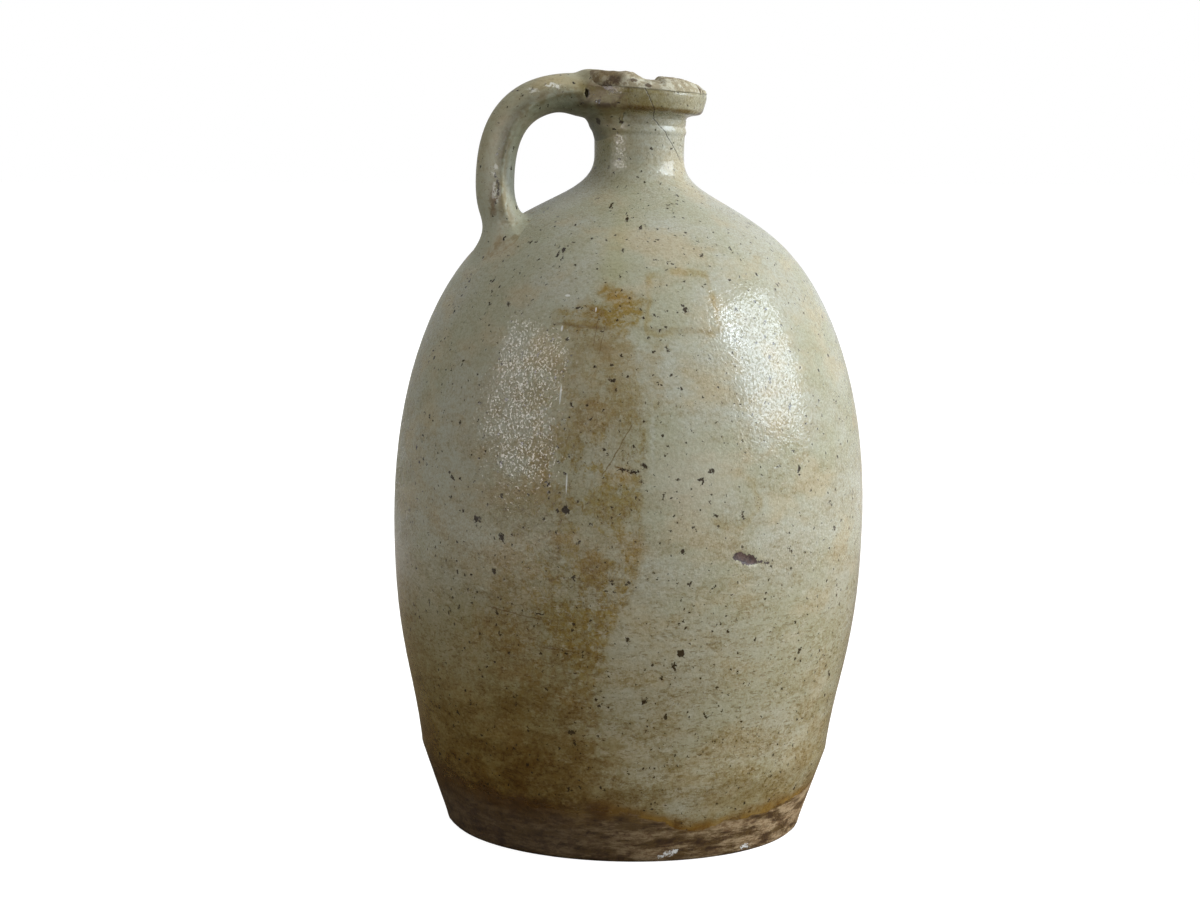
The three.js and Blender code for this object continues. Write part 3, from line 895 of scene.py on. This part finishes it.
# Small white ticks on the glaze, painted glints that stand for reflections, in the same measures
PAINTED_GLINTS = (
    (-14.4, 181.7, 0.35, 4.5), (-17.3, 221.0, 0.45, 4.0), (-19.2, 249.9, 0.6, 1.2), (-19.4, 264.3, 1.6, 0.5),
    (-10.2, 258.7, 0.4, 1.0),
)
# Dots beside the chip, white smears on the foot, and patches of which the photograph has one each
CHIP_DOTS = ((32.0, 145.2, 1.5, 1.0), (33.8, 144.6, 1.3, 0.7))
SMEARS = ((42, 3.0, 4, 0.9), (12.6, 3.4, 3.4, 0.8), (14.2, 4.4, 3.4, 0.8), (16.0, 5.6, 3.4, 0.8))
PALE_EDGE = (5.4, 207, 0.9, 19)
OLIVE_PATCH = (-6, 281, 9, 15)
WRINKLED_PATCH = (15, 184, 19, 15)
FAINT_FRAME = (15, 262.2, 19.5, 12.5)
FAINT_RING = (25, 174)
FAINT_RING_RADIUS = 12
# Rust on the upper front, in the same measures, with its strength
RUST_MARKS = (
    (-3.6, 258.5, 14.0, 9.5, 1.0), (-14.0, 254.0, 17.0, 5.5, 0.8), (-9.0, 245.0, 13.0, 7.0, 0.42),
    (-16.0, 233.0, 8.0, 9.0, 0.40), (-3.0, 236.0, 11.0, 11.0, 0.45), (6.0, 229.0, 5.5, 17.0, 0.38),
    (-6.0, 216.0, 17.0, 12.0, 0.36),
)
# Scratches and fine brown lines: ends in degrees from front and height, half width, strength
SCRATCHES = (
    ((0.5, 208.4), (-6.0, 186.0), 0.35, 0.75), ((-21.0, 252.0), (-6.4, 250.4), 1.0, 0.42),
    ((-9.2, 255.7), (-10.0, 242.6), 0.3, 0.6), ((-7.0, 251.5), (-8.1, 240.1), 0.3, 0.6),
    ((1.8, 250.6), (23.1, 249.4), 1.6, 0.2), ((-3.0, 189.9), (1.1, 187.0), 0.5, 0.8),
    ((-34.0, 122.0), (-20.0, 118.5), 0.5, 0.6), ((-20.0, 105.6), (-12.0, 104.4), 0.5, 0.6),
)
# Ends of the hairline crack on the neck and on the collar, in millimetres
NECK_CRACK = ((0.1, -23.0, 345.8), (17.7, -12.9, 323.5))
COLLAR_CRACK = ((-4.9, -30.1, 357.8), (1.7, -31.8, 344.4))
# Dark chips in the collar's rim: middle and half sizes
COLLAR_CHIPS = (
    ((-17.8, -22.4, 361.8), (3.2, 5, 2.6)),
    ((-20.6, -21.0, 358.6), (2.0, 5, 2.6)),
    ((-21.5, -20.0, 357.0), (5.5, 6, 0.8)),
    ((-3.2, -29.0, 359.2), (1.5, 4, 1.2)),
    ((-9.5, -27.0, 361.6), (2.2, 4, 0.9)),
    ((25.4, -19.0, 357.6), (0.8, 6, 2.6)),
    ((27.6, -16.0, 356.0), (0.8, 6, 3.0)),
)
# Painted shade over the strap's finger side, across its whole width, and rust low on its outer side: middle,
# half sizes
FINGER_SHADE_PATCH = ((-43.5, 0, 327), (27.5, 1000, 31))
RUST_PATCH = ((-72.8, -10, 304), (1.2, 9, 7.5))
# The pale on these chips is partly broken glaze and partly a painted highlight on the chipped ridge
PAINTED_CHIPS = 4  # how many of the ridge's chips show pale
# Edge of the warm stain: height in metres, degrees from front
STAIN_EDGE = (
    (0.03, -9), (0.072, -5.8), (0.111, -3.4), (0.130, 1.0), (0.148, 3.9),
    (0.1975, 4.3), (0.235, 3), (0.27, -2),
)
# Strength of the warm stain, and of dirt over the whole jug: height in metres, strength
STAIN_STRENGTH = ((0.02, 0.5), (0.07, 0.62), (0.11, 1.0), (0.19, 1.0), (0.225, 0.7), (0.255, 0.1), (0.27, 0))
DIRT_STRENGTH = (
    (0, 0.8), (0.045, 0.7), (0.08, 0.43), (0.14, 0.38), (0.2, 0.31),
    (0.25, 0.14), (0.31, 0.16), (0.366, 0.28),
)
# Lower edge of the glaze: radians from front, height in metres
GLAZE_EDGE = (
    (-3.1416, 0.024), (-2.2, 0.021), (-1.5, 0.029), (-0.87, 0.0275), (-0.42, 0.0245), (-0.02, 0.025),
    (0.35, 0.0155), (0.77, 0.020), (1.08, 0.022), (1.7, 0.028), (2.4, 0.019), (3.1416, 0.024),
)


def metres(sizes):
    return tuple(size * MM for size in sizes)


def at(degrees, height):
    """A place on the unrolled vessel, from the measures of its marks."""
    return (math.radians(degrees) * BELLY_RADIUS * MM, height * MM, 0)


def oval(degrees, height, wide, tall):
    """The middle and half sizes of a mark on the unrolled vessel."""
    return at(degrees, height), (wide * MM, tall * MM, 1)


def glaze(name):
    """The glaze that all three pieces share: clouded tone, sandy grain, dirt, iron specks and worn gloss."""
    coat = Finish(name, PALE, GLAZE_ROUGHNESS)
    coat.paint(coat.noise(0.045, 3.0, 0.55).smooth(0.40, 0.62), GREEN)
    coat.paint(coat.noise(0.030, 3.0, 0.6, 1.6).smooth(0.47, 0.68), CREAM)
    coat.paint(coat.z.smooth(0.22, 0.05) * 0.5, CREAM)
    drift = coat.noise(0.022, 5.0, 0.65, 2.2)
    dirt = coat.profile(coat.z, DIRT_STRENGTH) * (drift.smooth(0.38, 0.64) * 1.15 + 0.25)
    coat.dirt = dirt  # for stains that follow it
    grain = coat.noise(0.0024, 5.0, 0.75, 1.3).smooth(0.48, 0.60)
    coat.stain(grain * dirt * 0.75, SAND)
    coat.stain(grain * 0.35, MEAL)
    coat.stain(coat.noise(0.006, 5.0, 0.7, 1.8).smooth(0.50, 0.60) * (dirt * 0.5 + 0.05), SAND)
    coat.stain(coat.noise(0.0011, 3.0, 0.7).smooth(0.48, 0.62) * (dirt * 0.45 + 0.22), MEAL)
    coat.stain(dirt * 0.5, DIRT)
    coat.stain(coat.z.smooth(0.295, 0.335) * coat.side.smooth(0.3, -0.3), NECK_TINT)

    jagged = coat.wobbled(coat.place, 0.0014, 0.0016)
    torn = coat.wobbled(jagged, 0.0026, 0.0030)
    fine = coat.specks(0.0023, 0.00042, 0.85, jagged)
    medium = coat.specks(0.0036, 0.00085, 0.9, jagged)
    large = coat.specks(0.0080, 0.0014, 0.85, torn)
    coat.iron = medium.over(large)  # painted by iron_specks(), over the stains
    coat.stain(fine * 0.8, FINE_SPECK)

    coat.build_up(coat.noise(0.0040, 2.0, 0.5), 0.00007)
    coat.build_up(coat.noise(0.0017, 1.0, 0.5).smooth(0.40, 0.60), 0.00005)
    coat.roughness = coat.noise(0.02, 2.0) * 0.05 + GLAZE_ROUGHNESS
    polish = coat.side.smooth(-0.3, 0.48) * 0.085 - 0.05 + (coat.noise(0.013, 3.0, 0.6) - 0.5) * 0.09
    worn = (coat.noise(0.00085, 2.0, 0.6, 0.8) - polish).smooth(0.48, 0.52)
    worn_part = coat.z.smooth(0.12, 0.18) * (coat.z.smooth(0.33, 0.29) * 0.6 + 0.4)
    coat.roughen(worn * worn_part, WORN_ROUGHNESS)
    coat.roughen(dirt * 0.25, DIRTY_ROUGHNESS)
    return coat


def iron_specks(coat, dark):
    """Dark specks go over every stain."""
    coat.paint(dark * 0.97, SPECK)
    coat.roughen(dark, GLAZE_ROUGHNESS)
    coat.build_up(dark, -0.00003)


def warm_stain(coat, jagged, mottle):
    """The stain down the front with its sharp right edge, and flecks, scuffs and crackle in the glaze."""
    wander = (coat.noise(0.011, 3.0, 0.6) - 0.5) * math.radians(3)
    left = coat.profile(coat.z, STAIN_EDGE) * math.radians(1) - coat.angle + wander
    blots = coat.noise(0.016, 6.0, 0.72, 0.9)
    warm = left.smooth(-0.010, 0.030) * left.smooth(1.0, 0.2) * coat.profile(coat.z, STAIN_STRENGTH)
    coat.stain(warm * (blots.smooth(0.465, 0.515) * 0.7 + 0.25) * mottle, WARM)
    runs = coat.noise(0.005, 5.0, 0.75, 0.21875).smooth(0.52, 0.60)
    coat.stain(warm * runs * 0.35, WARM)
    peppered = coat.specks(0.0021, 0.0006, 0.9, coat.wobbled(coat.place, 0.0012, 0.0015))
    coat.stain(peppered * (warm * 0.5 + coat.dirt * 0.35), PEPPER)
    coat.paint(coat.spot(jagged, *oval(*PALE_EDGE), 0.5) * 0.5, PALE)
    flecks = coat.noise(0.0042, 5.0, 0.7, 3).smooth(0.565, 0.61) * coat.z.smooth(0.18, 0.09)
    coat.stain(flecks * 0.55, FLECK)
    scuffs = coat.noise(0.0046, 5.0, 0.75, 2.2).smooth(0.55, 0.62) * coat.z.smooth(0.21, 0.12)
    coat.paint(scuffs * 0.4, SCUFF)
    crackle = coat.cracks(0.0042, 0.00045, coat.wobbled(coat.place, 0.003, 0.001))
    coat.stain(crackle * (warm * 0.15 + coat.dirt * 0.22 + 0.03), CRACKLE)


def low_stain_and_shade(coat, mottle, patches):
    """The brown low on the vessel, most of all on the left: partly stain, and partly painted shade on the
    vessel's shaded left side.
    """
    # Left-weighted layers: brown stain together with painted shade of the vessel's shaded side
    low_left = coat.z.smooth(0.135, 0.03) * coat.side.smooth(0.25, -0.43)
    streaks = coat.noise(0.03, 5.0, 0.65, 3).smooth(0.35, 0.62)
    coat.stain(low_left * (streaks * 0.5 + 0.3) * mottle, WARM)
    coat.stain(coat.z.smooth(0.15, 0.05) * coat.side.smooth(0.05, -0.56) * 0.75, BROWN_OLIVE)
    brown = coat.noise(0.016, 6.0, 0.72, 1.5).smooth(0.49, 0.57) * coat.z.smooth(0.13, 0.035)
    coat.stain(brown * (coat.side.smooth(0.48, -0.3) * 0.4 + 0.2), BROWN)
    foot_left = coat.z.smooth(0.10, 0.02) * coat.side.smooth(0.25, -0.34)
    coat.stain(foot_left * (patches.smooth(0.36, 0.6) * 0.5 + 0.15), BROWN_OLIVE)


def scratch(coat, bent, start, end, width):
    """A thin line between two places on the unrolled vessel."""
    start = Vector(at(*start))
    end = Vector(at(*end))
    length = (end - start).length
    run = (end - start).normalized()
    beside = Vector((-run.y, run.x, 0))
    along = coat.measure("DOT_PRODUCT", bent, run) - start.dot(run)
    off = abs(coat.measure("DOT_PRODUCT", bent, beside) - start.dot(beside))
    ends = along.smooth(-0.002, 0.001) * along.smooth(length + 0.002, length - 0.001)
    return off.smooth(width * MM, 0.3 * width * MM) * ends


def single_marks(coat, flat, rough, jagged):
    """The marks that are drawn one by one: patches, rust, scratches, a frame and ring, dark marks and
    painted white glints.
    """
    coat.stain(coat.spot(rough, *oval(*OLIVE_PATCH), 0.8) * 0.45, OLIVE)
    coat.paint(coat.spot(rough, *oval(*WRINKLED_PATCH), 0.8) * 0.5, PALE_PATCH)
    fringe = coat.wobbled(coat.wobbled(rough, 0.008, 0.010), 0.0018, 0.0022)
    streaks = coat.noise(0.005, 5.0, 0.72, 1.6).smooth(0.42, 0.54) * 0.55 + 0.42
    for *rust, strength in RUST_MARKS:
        coat.stain(coat.spot(fringe, *oval(*rust), 0.35) * streaks * strength, ORANGE)
    bent = coat.wobbled(flat, 0.006, 0.0012)
    for start, end, width, strength in SCRATCHES:
        coat.stain(scratch(coat, bent, start, end, width) * strength, SCRATCH)
    middle, half = oval(*FAINT_FRAME)
    across, up, _ = coat.split(coat.vector("SUBTRACT", rough, middle))
    from_frame = abs((abs(across) - half[0]).over(abs(up) - half[1]))
    coat.stain(from_frame.smooth(0.0030, 0.0004) * coat.noise(0.012, 3.0).smooth(0.3, 0.6) * 0.8, TAN)
    from_ring = abs(coat.measure("DISTANCE", rough, at(*FAINT_RING)) - FAINT_RING_RADIUS * MM)
    coat.stain(from_ring.smooth(0.0035, 0.0005) * coat.noise(0.01, 2.0).smooth(0.4, 0.6) * 0.6, TAN)
    iron_specks(coat, coat.iron.over(coat.spots(jagged, [oval(*mark) for mark in DARK_MARKS], 0.2)))
    # Painted glints: thin white ticks that stand for small reflections on the glaze
    for mark in PAINTED_GLINTS:
        coat.paint(coat.spot(flat, *oval(*mark)) * 0.8, PLASTER_AND_GLINT_WHITE)


def belly_chip(coat, jagged):
    """Dark clay in the belly's chip, broken glaze under it and two dots beside it."""
    middle = at(math.degrees(CHIP_ANGLE), CHIP_HEIGHT)
    along, up, _ = coat.split(coat.vector("SUBTRACT", jagged, middle))
    length = (along * math.cos(CHIP_SLOPE) + up * math.sin(CHIP_SLOPE)) / (CHIP_HALF_LENGTH * MM)
    width = (up * math.cos(CHIP_SLOPE) - along * math.sin(CHIP_SLOPE)) / (CHIP_HALF_WIDTH * MM)
    inside = 1 - length * length - width * width
    under = width.smooth(-0.1, -0.5) * length.smooth(-0.1, 0.6)
    coat.paint(inside.smooth(-0.6, -0.2) * under * 0.85, BROKEN_GLAZE)
    dots = coat.spots(jagged, [oval(*dot) for dot in CHIP_DOTS])
    broken = inside.smooth(0.0, 0.16).over(dots)
    coat.paint(broken, CHIP_CLAY)
    core = inside.smooth(0.22, 0.45) * coat.noise(0.003, 4.0, 0.7).smooth(0.38, 0.5)
    coat.paint(core * 0.8, CHIP_CORE)
    coat.roughen(broken, CHIP_ROUGHNESS)


def bare_foot(coat, jagged, patches):
    """The clay below the glaze's ragged edge, the ochre and pooled glaze along it, and the white smears."""
    stained_side = coat.side.smooth(0.2, -0.5)
    ragged = (coat.noise(0.012, 4.0, 0.6, 2) - 0.5) * (stained_side * 0.014 + 0.009)
    above = coat.z - coat.profile(coat.angle, GLAZE_EDGE) + ragged
    coat.stain(above.smooth(0.040, 0.0) * coat.noise(0.018, 4.0, 0.6).smooth(0.3, 0.6) * 0.75, DIRT)
    coat.stain(above.smooth(0.009, 0.001) * coat.noise(0.02, 2.0).smooth(0.30, 0.5), OCHRE)
    pooled = coat.side.smooth(-0.48, -0.15) * coat.noise(0.011, 3.0).smooth(0.40, 0.55)
    coat.paint(above.smooth(0.0055, 0.0005) * pooled * 0.6, POOLED_GLAZE)
    melting = stained_side * 0.013 + 0.0012  # the edge is lost in the stain on the left
    clay = (above / melting).smooth(1.0, -1.0)
    lines = coat.noise(0.020, 6.0, 0.74, 5)
    coat.paint(clay, CLAY)
    coat.paint(clay * lines.smooth(0.43, 0.58) * (coat.side.smooth(-0.6, 0.7) * 0.68 + 0.15), PALE_CLAY)
    coat.stain(clay * patches.smooth(0.50, 0.60) * 0.8, CLAY_PATCH)
    coat.stain(clay * coat.noise(0.0045, 5.0, 0.75, 3).smooth(0.50, 0.58) * 0.7, CLAY_STREAK)
    coat.roughen(clay, CLAY_ROUGHNESS)
    coat.build_up(clay * lines, 0.00025)
    coat.build_up(clay, -0.00015)
    smears = coat.spots(jagged, [oval(*smear) for smear in SMEARS])
    coat.paint(smears * coat.noise(0.002, 3.0).smooth(0.35, 0.5), PLASTER_AND_GLINT_WHITE)


def crack(coat, start, end):
    """A hairline crack between two places on the surface, in the plane through them and the axis behind."""
    start = Vector(start) * MM
    end = Vector(end) * MM
    outward = ((start + end) / 2 * Vector((1, 1, 0))).normalized()
    across = (end - start).cross(outward).normalized()
    bent = coat.wobbled(coat.place, 0.004, 0.0003)
    off = abs(coat.measure("DOT_PRODUCT", bent, across) - start.dot(across))
    front = coat.measure("DOT_PRODUCT", coat.place, outward).smooth(0.004, 0.008)
    along = coat.z.smooth(end.z - 0.001, end.z) * coat.z.smooth(start.z + 0.001, start.z)
    line = off.smooth(0.00028, 0.00010) * front * along
    coat.paint(line * 0.85, SPECK)
    coat.build_up(line, -0.0001)


def body_glaze():
    coat = glaze("body_glaze")
    flat = coat.add("CombineXYZ", {"X": coat.angle * (BELLY_RADIUS * MM), "Y": coat.z}).outputs[0]
    rough = coat.wobbled(coat.wobbled(flat, 0.016, 0.005), 0.004, 0.0016)
    jagged = coat.wobbled(flat, 0.0018, 0.0028)
    mottle = coat.noise(0.0028, 5.0, 0.75).smooth(0.42, 0.58) * 0.4 + 0.6
    patches = coat.noise(0.009, 4.0, 0.7, 1.6)
    warm_stain(coat, jagged, mottle)
    low_stain_and_shade(coat, mottle, patches)
    single_marks(coat, flat, rough, jagged)
    belly_chip(coat, jagged)
    bare_foot(coat, jagged, patches)
    crack(coat, *NECK_CRACK)
    return coat.done()


def collar_level(coat):
    """How far above the collar's seat each place is, along the collar's own axis."""
    axis = (math.sin(MOUTH_TILT), 0, math.cos(MOUTH_TILT))
    return coat.measure("DOT_PRODUCT", coat.place, axis) - Vector(metres(COLLAR_SEAT)).dot(axis)


def bead_marks(coat, level, here):
    """The stain, the specks and a line under the bead that is partly brown stain and partly painted shade,
    on the collar's bead; they go on over the clay of the handle's joint.
    """
    blots = coat.noise(0.006, 4.0, 0.65)
    stained = coat.side.smooth(0.84, 0.1) * 0.5 + 0.5
    bead = level.smooth(0.0145, 0.0120) * level.smooth(0.0, 0.003)
    coat.stain(here * bead * (blots.smooth(0.3, 0.6) * 0.35 + 0.65) * stained, BEAD_STAIN)
    # Under the bead's overhang: a brown line, partly stain and partly painted shade
    under = abs(level - 0.0038).smooth(0.0018, 0.0004) * coat.side.smooth(-0.75, -0.45)
    coat.stain(here * under * (blots.smooth(0.36, 0.52) * 0.6 + 0.25), BEAD_SHADE)
    jagged = coat.wobbled(coat.place, 0.002, 0.0008)
    low = level.smooth(0.009, 0.007) * level.smooth(0.003, 0.0045)
    coat.paint(here * coat.specks(0.0042, 0.0009, 0.8, jagged) * low, SPECK)


def collar_glaze():
    coat = glaze("collar_glaze")
    level = collar_level(coat)
    groove_level = GROOVE_LEVEL * MM
    jagged = coat.wobbled(coat.place, 0.002, 0.0009)
    bead_marks(coat, level, 1.0)
    iron_specks(coat, coat.iron)
    off_front = abs(coat.angle - FRACTURE_ANGLE)
    broken = off_front.smooth(FRACTURE_HALF + 0.15, FRACTURE_HALF - 0.1)
    patchy = coat.noise(0.016, 3.0, 0.6).smooth(0.48, 0.6)
    ragged = level + (coat.noise(0.004, 3.0) - 0.5) * 0.0018
    bare = ragged.smooth(groove_level + 0.0001, groove_level + 0.0007) * broken.over(patchy)
    coat.paint(bare, BROKEN_CLAY)
    coat.paint(bare * coat.noise(0.0045, 5.0, 0.72, 0.7).smooth(0.46, 0.56) * 0.8, BROKEN_GLAZE)
    coat.stain(bare * coat.noise(0.0035, 5.0, 0.72).smooth(0.55, 0.63) * 0.75, FRACTURE_DIRT)
    beside_handle = coat.side.smooth(-0.05, -0.39) * level.smooth(0.0125, 0.0145)
    smudges = coat.noise(0.005, 4.0, 0.7).smooth(0.40, 0.56) * 0.35 + 0.6
    coat.stain(beside_handle * smudges, BESIDE_HANDLE)
    # Painted shade along the collar's groove, strongest on the left, the shaded side
    groove = abs(level - groove_level).smooth(0.0007, 0.0001)
    lined = coat.side.smooth(0.3, -0.4) * 0.65 + 0.08
    coat.stain(groove * lined * coat.noise(0.006, 3.0, 0.6).smooth(0.36, 0.55), GROOVE_SHADE)
    top = level.smooth(0.0165, 0.0200)
    coat.stain(top * 0.45, RIM_STAIN)
    chips = coat.spots(jagged, [(metres(middle), metres(half)) for middle, half in COLLAR_CHIPS])
    coat.paint(chips * coat.noise(0.0022, 4.0, 0.7).smooth(0.38, 0.50) * 0.92, RIM_CHIP)
    coat.roughen(bare.over(top), FRACTURE_ROUGHNESS)
    coat.build_up(bare * coat.noise(0.0025, 4.0, 0.7), 0.0006)
    crack(coat, *COLLAR_CRACK)
    return coat.done()


def handle_glaze():
    coat = glaze("handle_glaze")
    coat.roughen(0.8, HANDLE_ROUGHNESS)
    jagged = coat.wobbled(coat.place, 0.0025, 0.0024)
    off_axis = coat.vector("SUBTRACT", coat.place, (NECK_OFFSET * MM, 0, 0))
    from_axis = coat.measure("LENGTH", coat.vector("MULTIPLY", off_axis, (1, 1, 0)))
    bead_marks(coat, collar_level(coat), from_axis.smooth(0.040, 0.0345))
    iron_specks(coat, coat.iron)
    # Painted shade on the strap's finger side, which faces the neck
    middle, half = FINGER_SHADE_PATCH
    coat.stain(coat.spot(coat.place, metres(middle), metres(half), 0.1) * 0.9, FINGER_SIDE_SHADE)
    ridge = abs(coat.y).smooth(0.0112, 0.0132) * coat.noise(0.007, 4.0, 0.65).smooth(0.44, 0.56)
    coat.stain(ridge * 0.75, RIDGE_STAIN)
    middle, half = RUST_PATCH
    coat.stain(coat.spot(jagged, metres(middle), metres(half), 0.6) * 0.9, HANDLE_RUST)
    # Pale chips on the ridge: broken glaze, with a painted highlight on them
    for middle, half in RIDGE_CHIPS[:PAINTED_CHIPS]:
        wide = (half[0], half[1] + 5, half[2] + 0.3)
        patch = coat.spot(jagged, metres(middle), metres(wide))
        coat.paint(patch * coat.noise(0.0024, 4.0, 0.7).smooth(0.46, 0.56) * 0.8, RIDGE_CHIP_AND_GLINT)
        coat.stain(patch * coat.noise(0.002, 3.0).smooth(0.54, 0.62), RIDGE_DIRT)
        coat.roughen(patch, RIDGE_ROUGHNESS)
    for middle, half in RIDGE_CRACKS:
        coat.paint(coat.spot(jagged, metres(middle), metres(half)) * 0.92, SPECK)
    return coat.done()


def bare_clay():
    coat = Finish("inside_clay", INSIDE_CLAY, INSIDE_ROUGHNESS)
    coat.paint(coat.noise(0.02, 4.0, 0.6, 4).smooth(0.4, 0.65), INSIDE_PALE)
    coat.build_up(coat.noise(0.004, 3.0), 0.0002)
    return coat.done()


vessel = make_vessel()
collar = make_collar()
handle = make_handle()
vessel.data.materials.append(body_glaze())
vessel.data.materials.append(bare_clay())
collar.data.materials.append(collar_glaze())
handle.data.materials.append(handle_glaze())

for piece, node, slot in (
    (vessel, "vessel_body", "body_glaze"),
    (collar, "mouth_collar", "collar_glaze"),
    (handle, "strap_handle", "handle_glaze"),
):
    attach(piece, "root")
    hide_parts(node)


# Stage: a floor and a world that show white to the camera, windows that show in the gloss, and soft fills

FLOOR_SIZE = 14
FLOOR_COLOUR = (0.42, 0.42, 0.40)
TABLE_COLOUR = (0.14, 0.105, 0.065)
TABLE_REACH = (0.35, 1.1)  # from the jug, where the table gives way to white in the gloss
FLOOR_IN_GLOSS = 0.42  # how much of that white shows
FLOOR_SHADE = (0.34, 0.34, 0.34)  # the part of the white that takes shadows
FLOOR_GLOW = 0.93
ROOM_COLOUR = (0.97, 0.99, 1.0)
ROOM_AXIS = Vector((math.cos(FRONT + 2.0), math.sin(FRONT + 2.0), 0.35)).normalized()  # to its brighter side
ROOM_EDGE = 0.9  # cosine to that axis at which the room is at its brightest
ROOM_SEEN = (0.04, 0.85)  # how bright the dim and the bright side look in the glaze
ROOM_FILL = (0.07, 0.42)  # how much light each side sends
LIGHT_DISTANCE = 2.2
LIGHT_TARGET = Vector((0, 0, 0.2))
SILL_DISTANCE = 0.8
SILL_TARGET = Vector((0.0024, 0, 0.335))
COOL = (0.80, 0.90, 1.0)
ROSY = (1.0, 0.96, 0.95)
WHITE = (1.0, 1.0, 1.0)
# Lamps: name, azimuth, elevation, width and height in degrees as seen from the target, radiance,
# colour, roll in degrees
WINDOWS = (
    ("right_window", -26, 26, 34, 35, 8.4, COOL, -13),
    ("right_pane", -43, 37, 9, 13, 10.0, COOL, -13),
    ("left_window", -166, 23, 35, 29, 6.2, ROSY, 0),
)
# A low lamp close by, for the lower edge of the left highlight and its block on the neck
LEFT_SILL = ("left_sill", -156, -5.5, 26, 6, 8.0, ROSY, 0)
FILLS = (
    ("right_fill", -25, 24, 58, 42, 6.8, (0.93, 0.96, 1.0), 0),
    ("left_fill", -165, 24, 44, 40, 1.3, (1.0, 0.96, 0.88), 0),
    ("overhead", -60, 60, 60, 60, 0.8, WHITE, 0),
    ("back_fill", 95, 35, 70, 50, 0.8, WHITE, 0),
)


def make_floor():
    """White to the camera; a table to gloss near the jug, and plain to the other surfaces."""
    side = FLOOR_SIZE / 2
    mesh = bpy.data.meshes.new("floor")
    corners = [(-side, -side, 0), (side, -side, 0), (side, side, 0), (-side, side, 0)]
    mesh.from_pydata(corners, [], [(0, 1, 2, 3)])
    floor = bpy.data.objects.new("floor", mesh)
    bpy.context.scene.collection.objects.link(floor)
    material = bpy.data.materials.new("floor_white")
    graph = Graph(material)
    plain, table, shade = (
        graph.add("BsdfDiffuse", {"Color": colour}).outputs[0]
        for colour in (FLOOR_COLOUR, TABLE_COLOUR, FLOOR_SHADE)
    )
    glow = graph.add("Emission", {"Strength": FLOOR_GLOW}).outputs[0]
    white = graph.add("AddShader", {0: shade, 1: glow}).outputs[0]
    path = graph.add("LightPath").outputs
    distance = graph.measure("LENGTH", graph.add("TexCoord").outputs["Object"])
    further = distance.smooth(*TABLE_REACH) * FLOOR_IN_GLOSS
    glossy = (further * path["Is Glossy Ray"]).over(path["Is Transmission Ray"])
    unseen = graph.mix(path["Is Glossy Ray"], plain, table)
    seen = graph.mix(graph.math("MAXIMUM", path["Is Camera Ray"], glossy), unseen, white)
    graph.add("OutputMaterial", {"Surface": seen})
    mesh.materials.append(material)


def make_world():
    """White to the camera; to gloss and to the surfaces, a plain room with one brighter side."""
    world = bpy.data.worlds.new("white_studio")
    bpy.context.scene.world = world
    graph = Graph(world)
    towards = graph.measure("DOT_PRODUCT", graph.add("TexCoord").outputs["Generated"], ROOM_AXIS)

    def room(dim, bright):
        level = towards.smooth(-ROOM_EDGE, ROOM_EDGE) * (bright - dim) + dim
        return graph.add("Background", {"Color": ROOM_COLOUR, "Strength": level}).outputs[0]

    white = graph.add("Background", {"Color": WHITE}).outputs[0]
    path = graph.add("LightPath").outputs
    glossy = graph.math("MAXIMUM", path["Is Glossy Ray"], path["Is Transmission Ray"])
    around = graph.mix(glossy, room(*ROOM_FILL), room(*ROOM_SEEN))
    graph.add("OutputWorld", {"Surface": graph.mix(path["Is Camera Ray"], around, white)})


def softbox(lamp_row, target=LIGHT_TARGET, distance=LIGHT_DISTANCE):
    """A rectangular lamp in a direction from a target, as wide and tall as it looks from there."""
    name, azimuth, elevation, wide, tall, radiance, colour, roll = lamp_row
    light = bpy.data.lights.new(name, "AREA")
    light.shape = "RECTANGLE"
    light.size = 2 * distance * math.tan(math.radians(wide / 2))
    light.size_y = 2 * distance * math.tan(math.radians(tall / 2))
    light.energy = radiance * math.pi * light.size * light.size_y
    light.color = colour
    turn = math.radians(azimuth)
    rise = math.radians(elevation)
    away = Vector((math.cos(rise) * math.cos(turn), math.cos(rise) * math.sin(turn), math.sin(rise)))
    lamp = bpy.data.objects.new(name, light)
    bpy.context.scene.collection.objects.link(lamp)
    lamp.location = target + distance * away
    facing = away.to_track_quat("Z", "Y").to_matrix() @ Matrix.Rotation(math.radians(roll), 3, "Z")
    lamp.rotation_euler = facing.to_euler()
    return lamp


def make_camera():
    data = bpy.data.cameras.new("camera")
    data.sensor_width = SENSOR
    data.lens = LENS
    camera = bpy.data.objects.new("camera", data)
    bpy.context.scene.collection.objects.link(camera)
    place = (
        math.sin(CAMERA_TURN) * CAMERA_DISTANCE,
        -math.cos(CAMERA_TURN) * CAMERA_DISTANCE,
        CAMERA_HEIGHT,
    )
    turn = Matrix.Rotation(CAMERA_TURN + CAMERA_PAN, 4, "Z")
    tip = Matrix.Rotation(math.radians(90) - CAMERA_PITCH, 4, "X")
    roll = Matrix.Rotation(CAMERA_ROLL, 4, "Z")
    camera.matrix_world = Matrix.Translation(place) @ turn @ tip @ roll
    bpy.context.scene.camera = camera


make_floor()
make_world()
for window in WINDOWS:
    softbox(window).visible_diffuse = False
left_sill = softbox(LEFT_SILL, SILL_TARGET, SILL_DISTANCE)
left_sill.visible_diffuse = False
left_sill.visible_camera = False
for fill in FILLS:
    softbox(fill).visible_glossy = False
make_camera()
bpy.context.scene.view_settings.view_transform = "Standard"
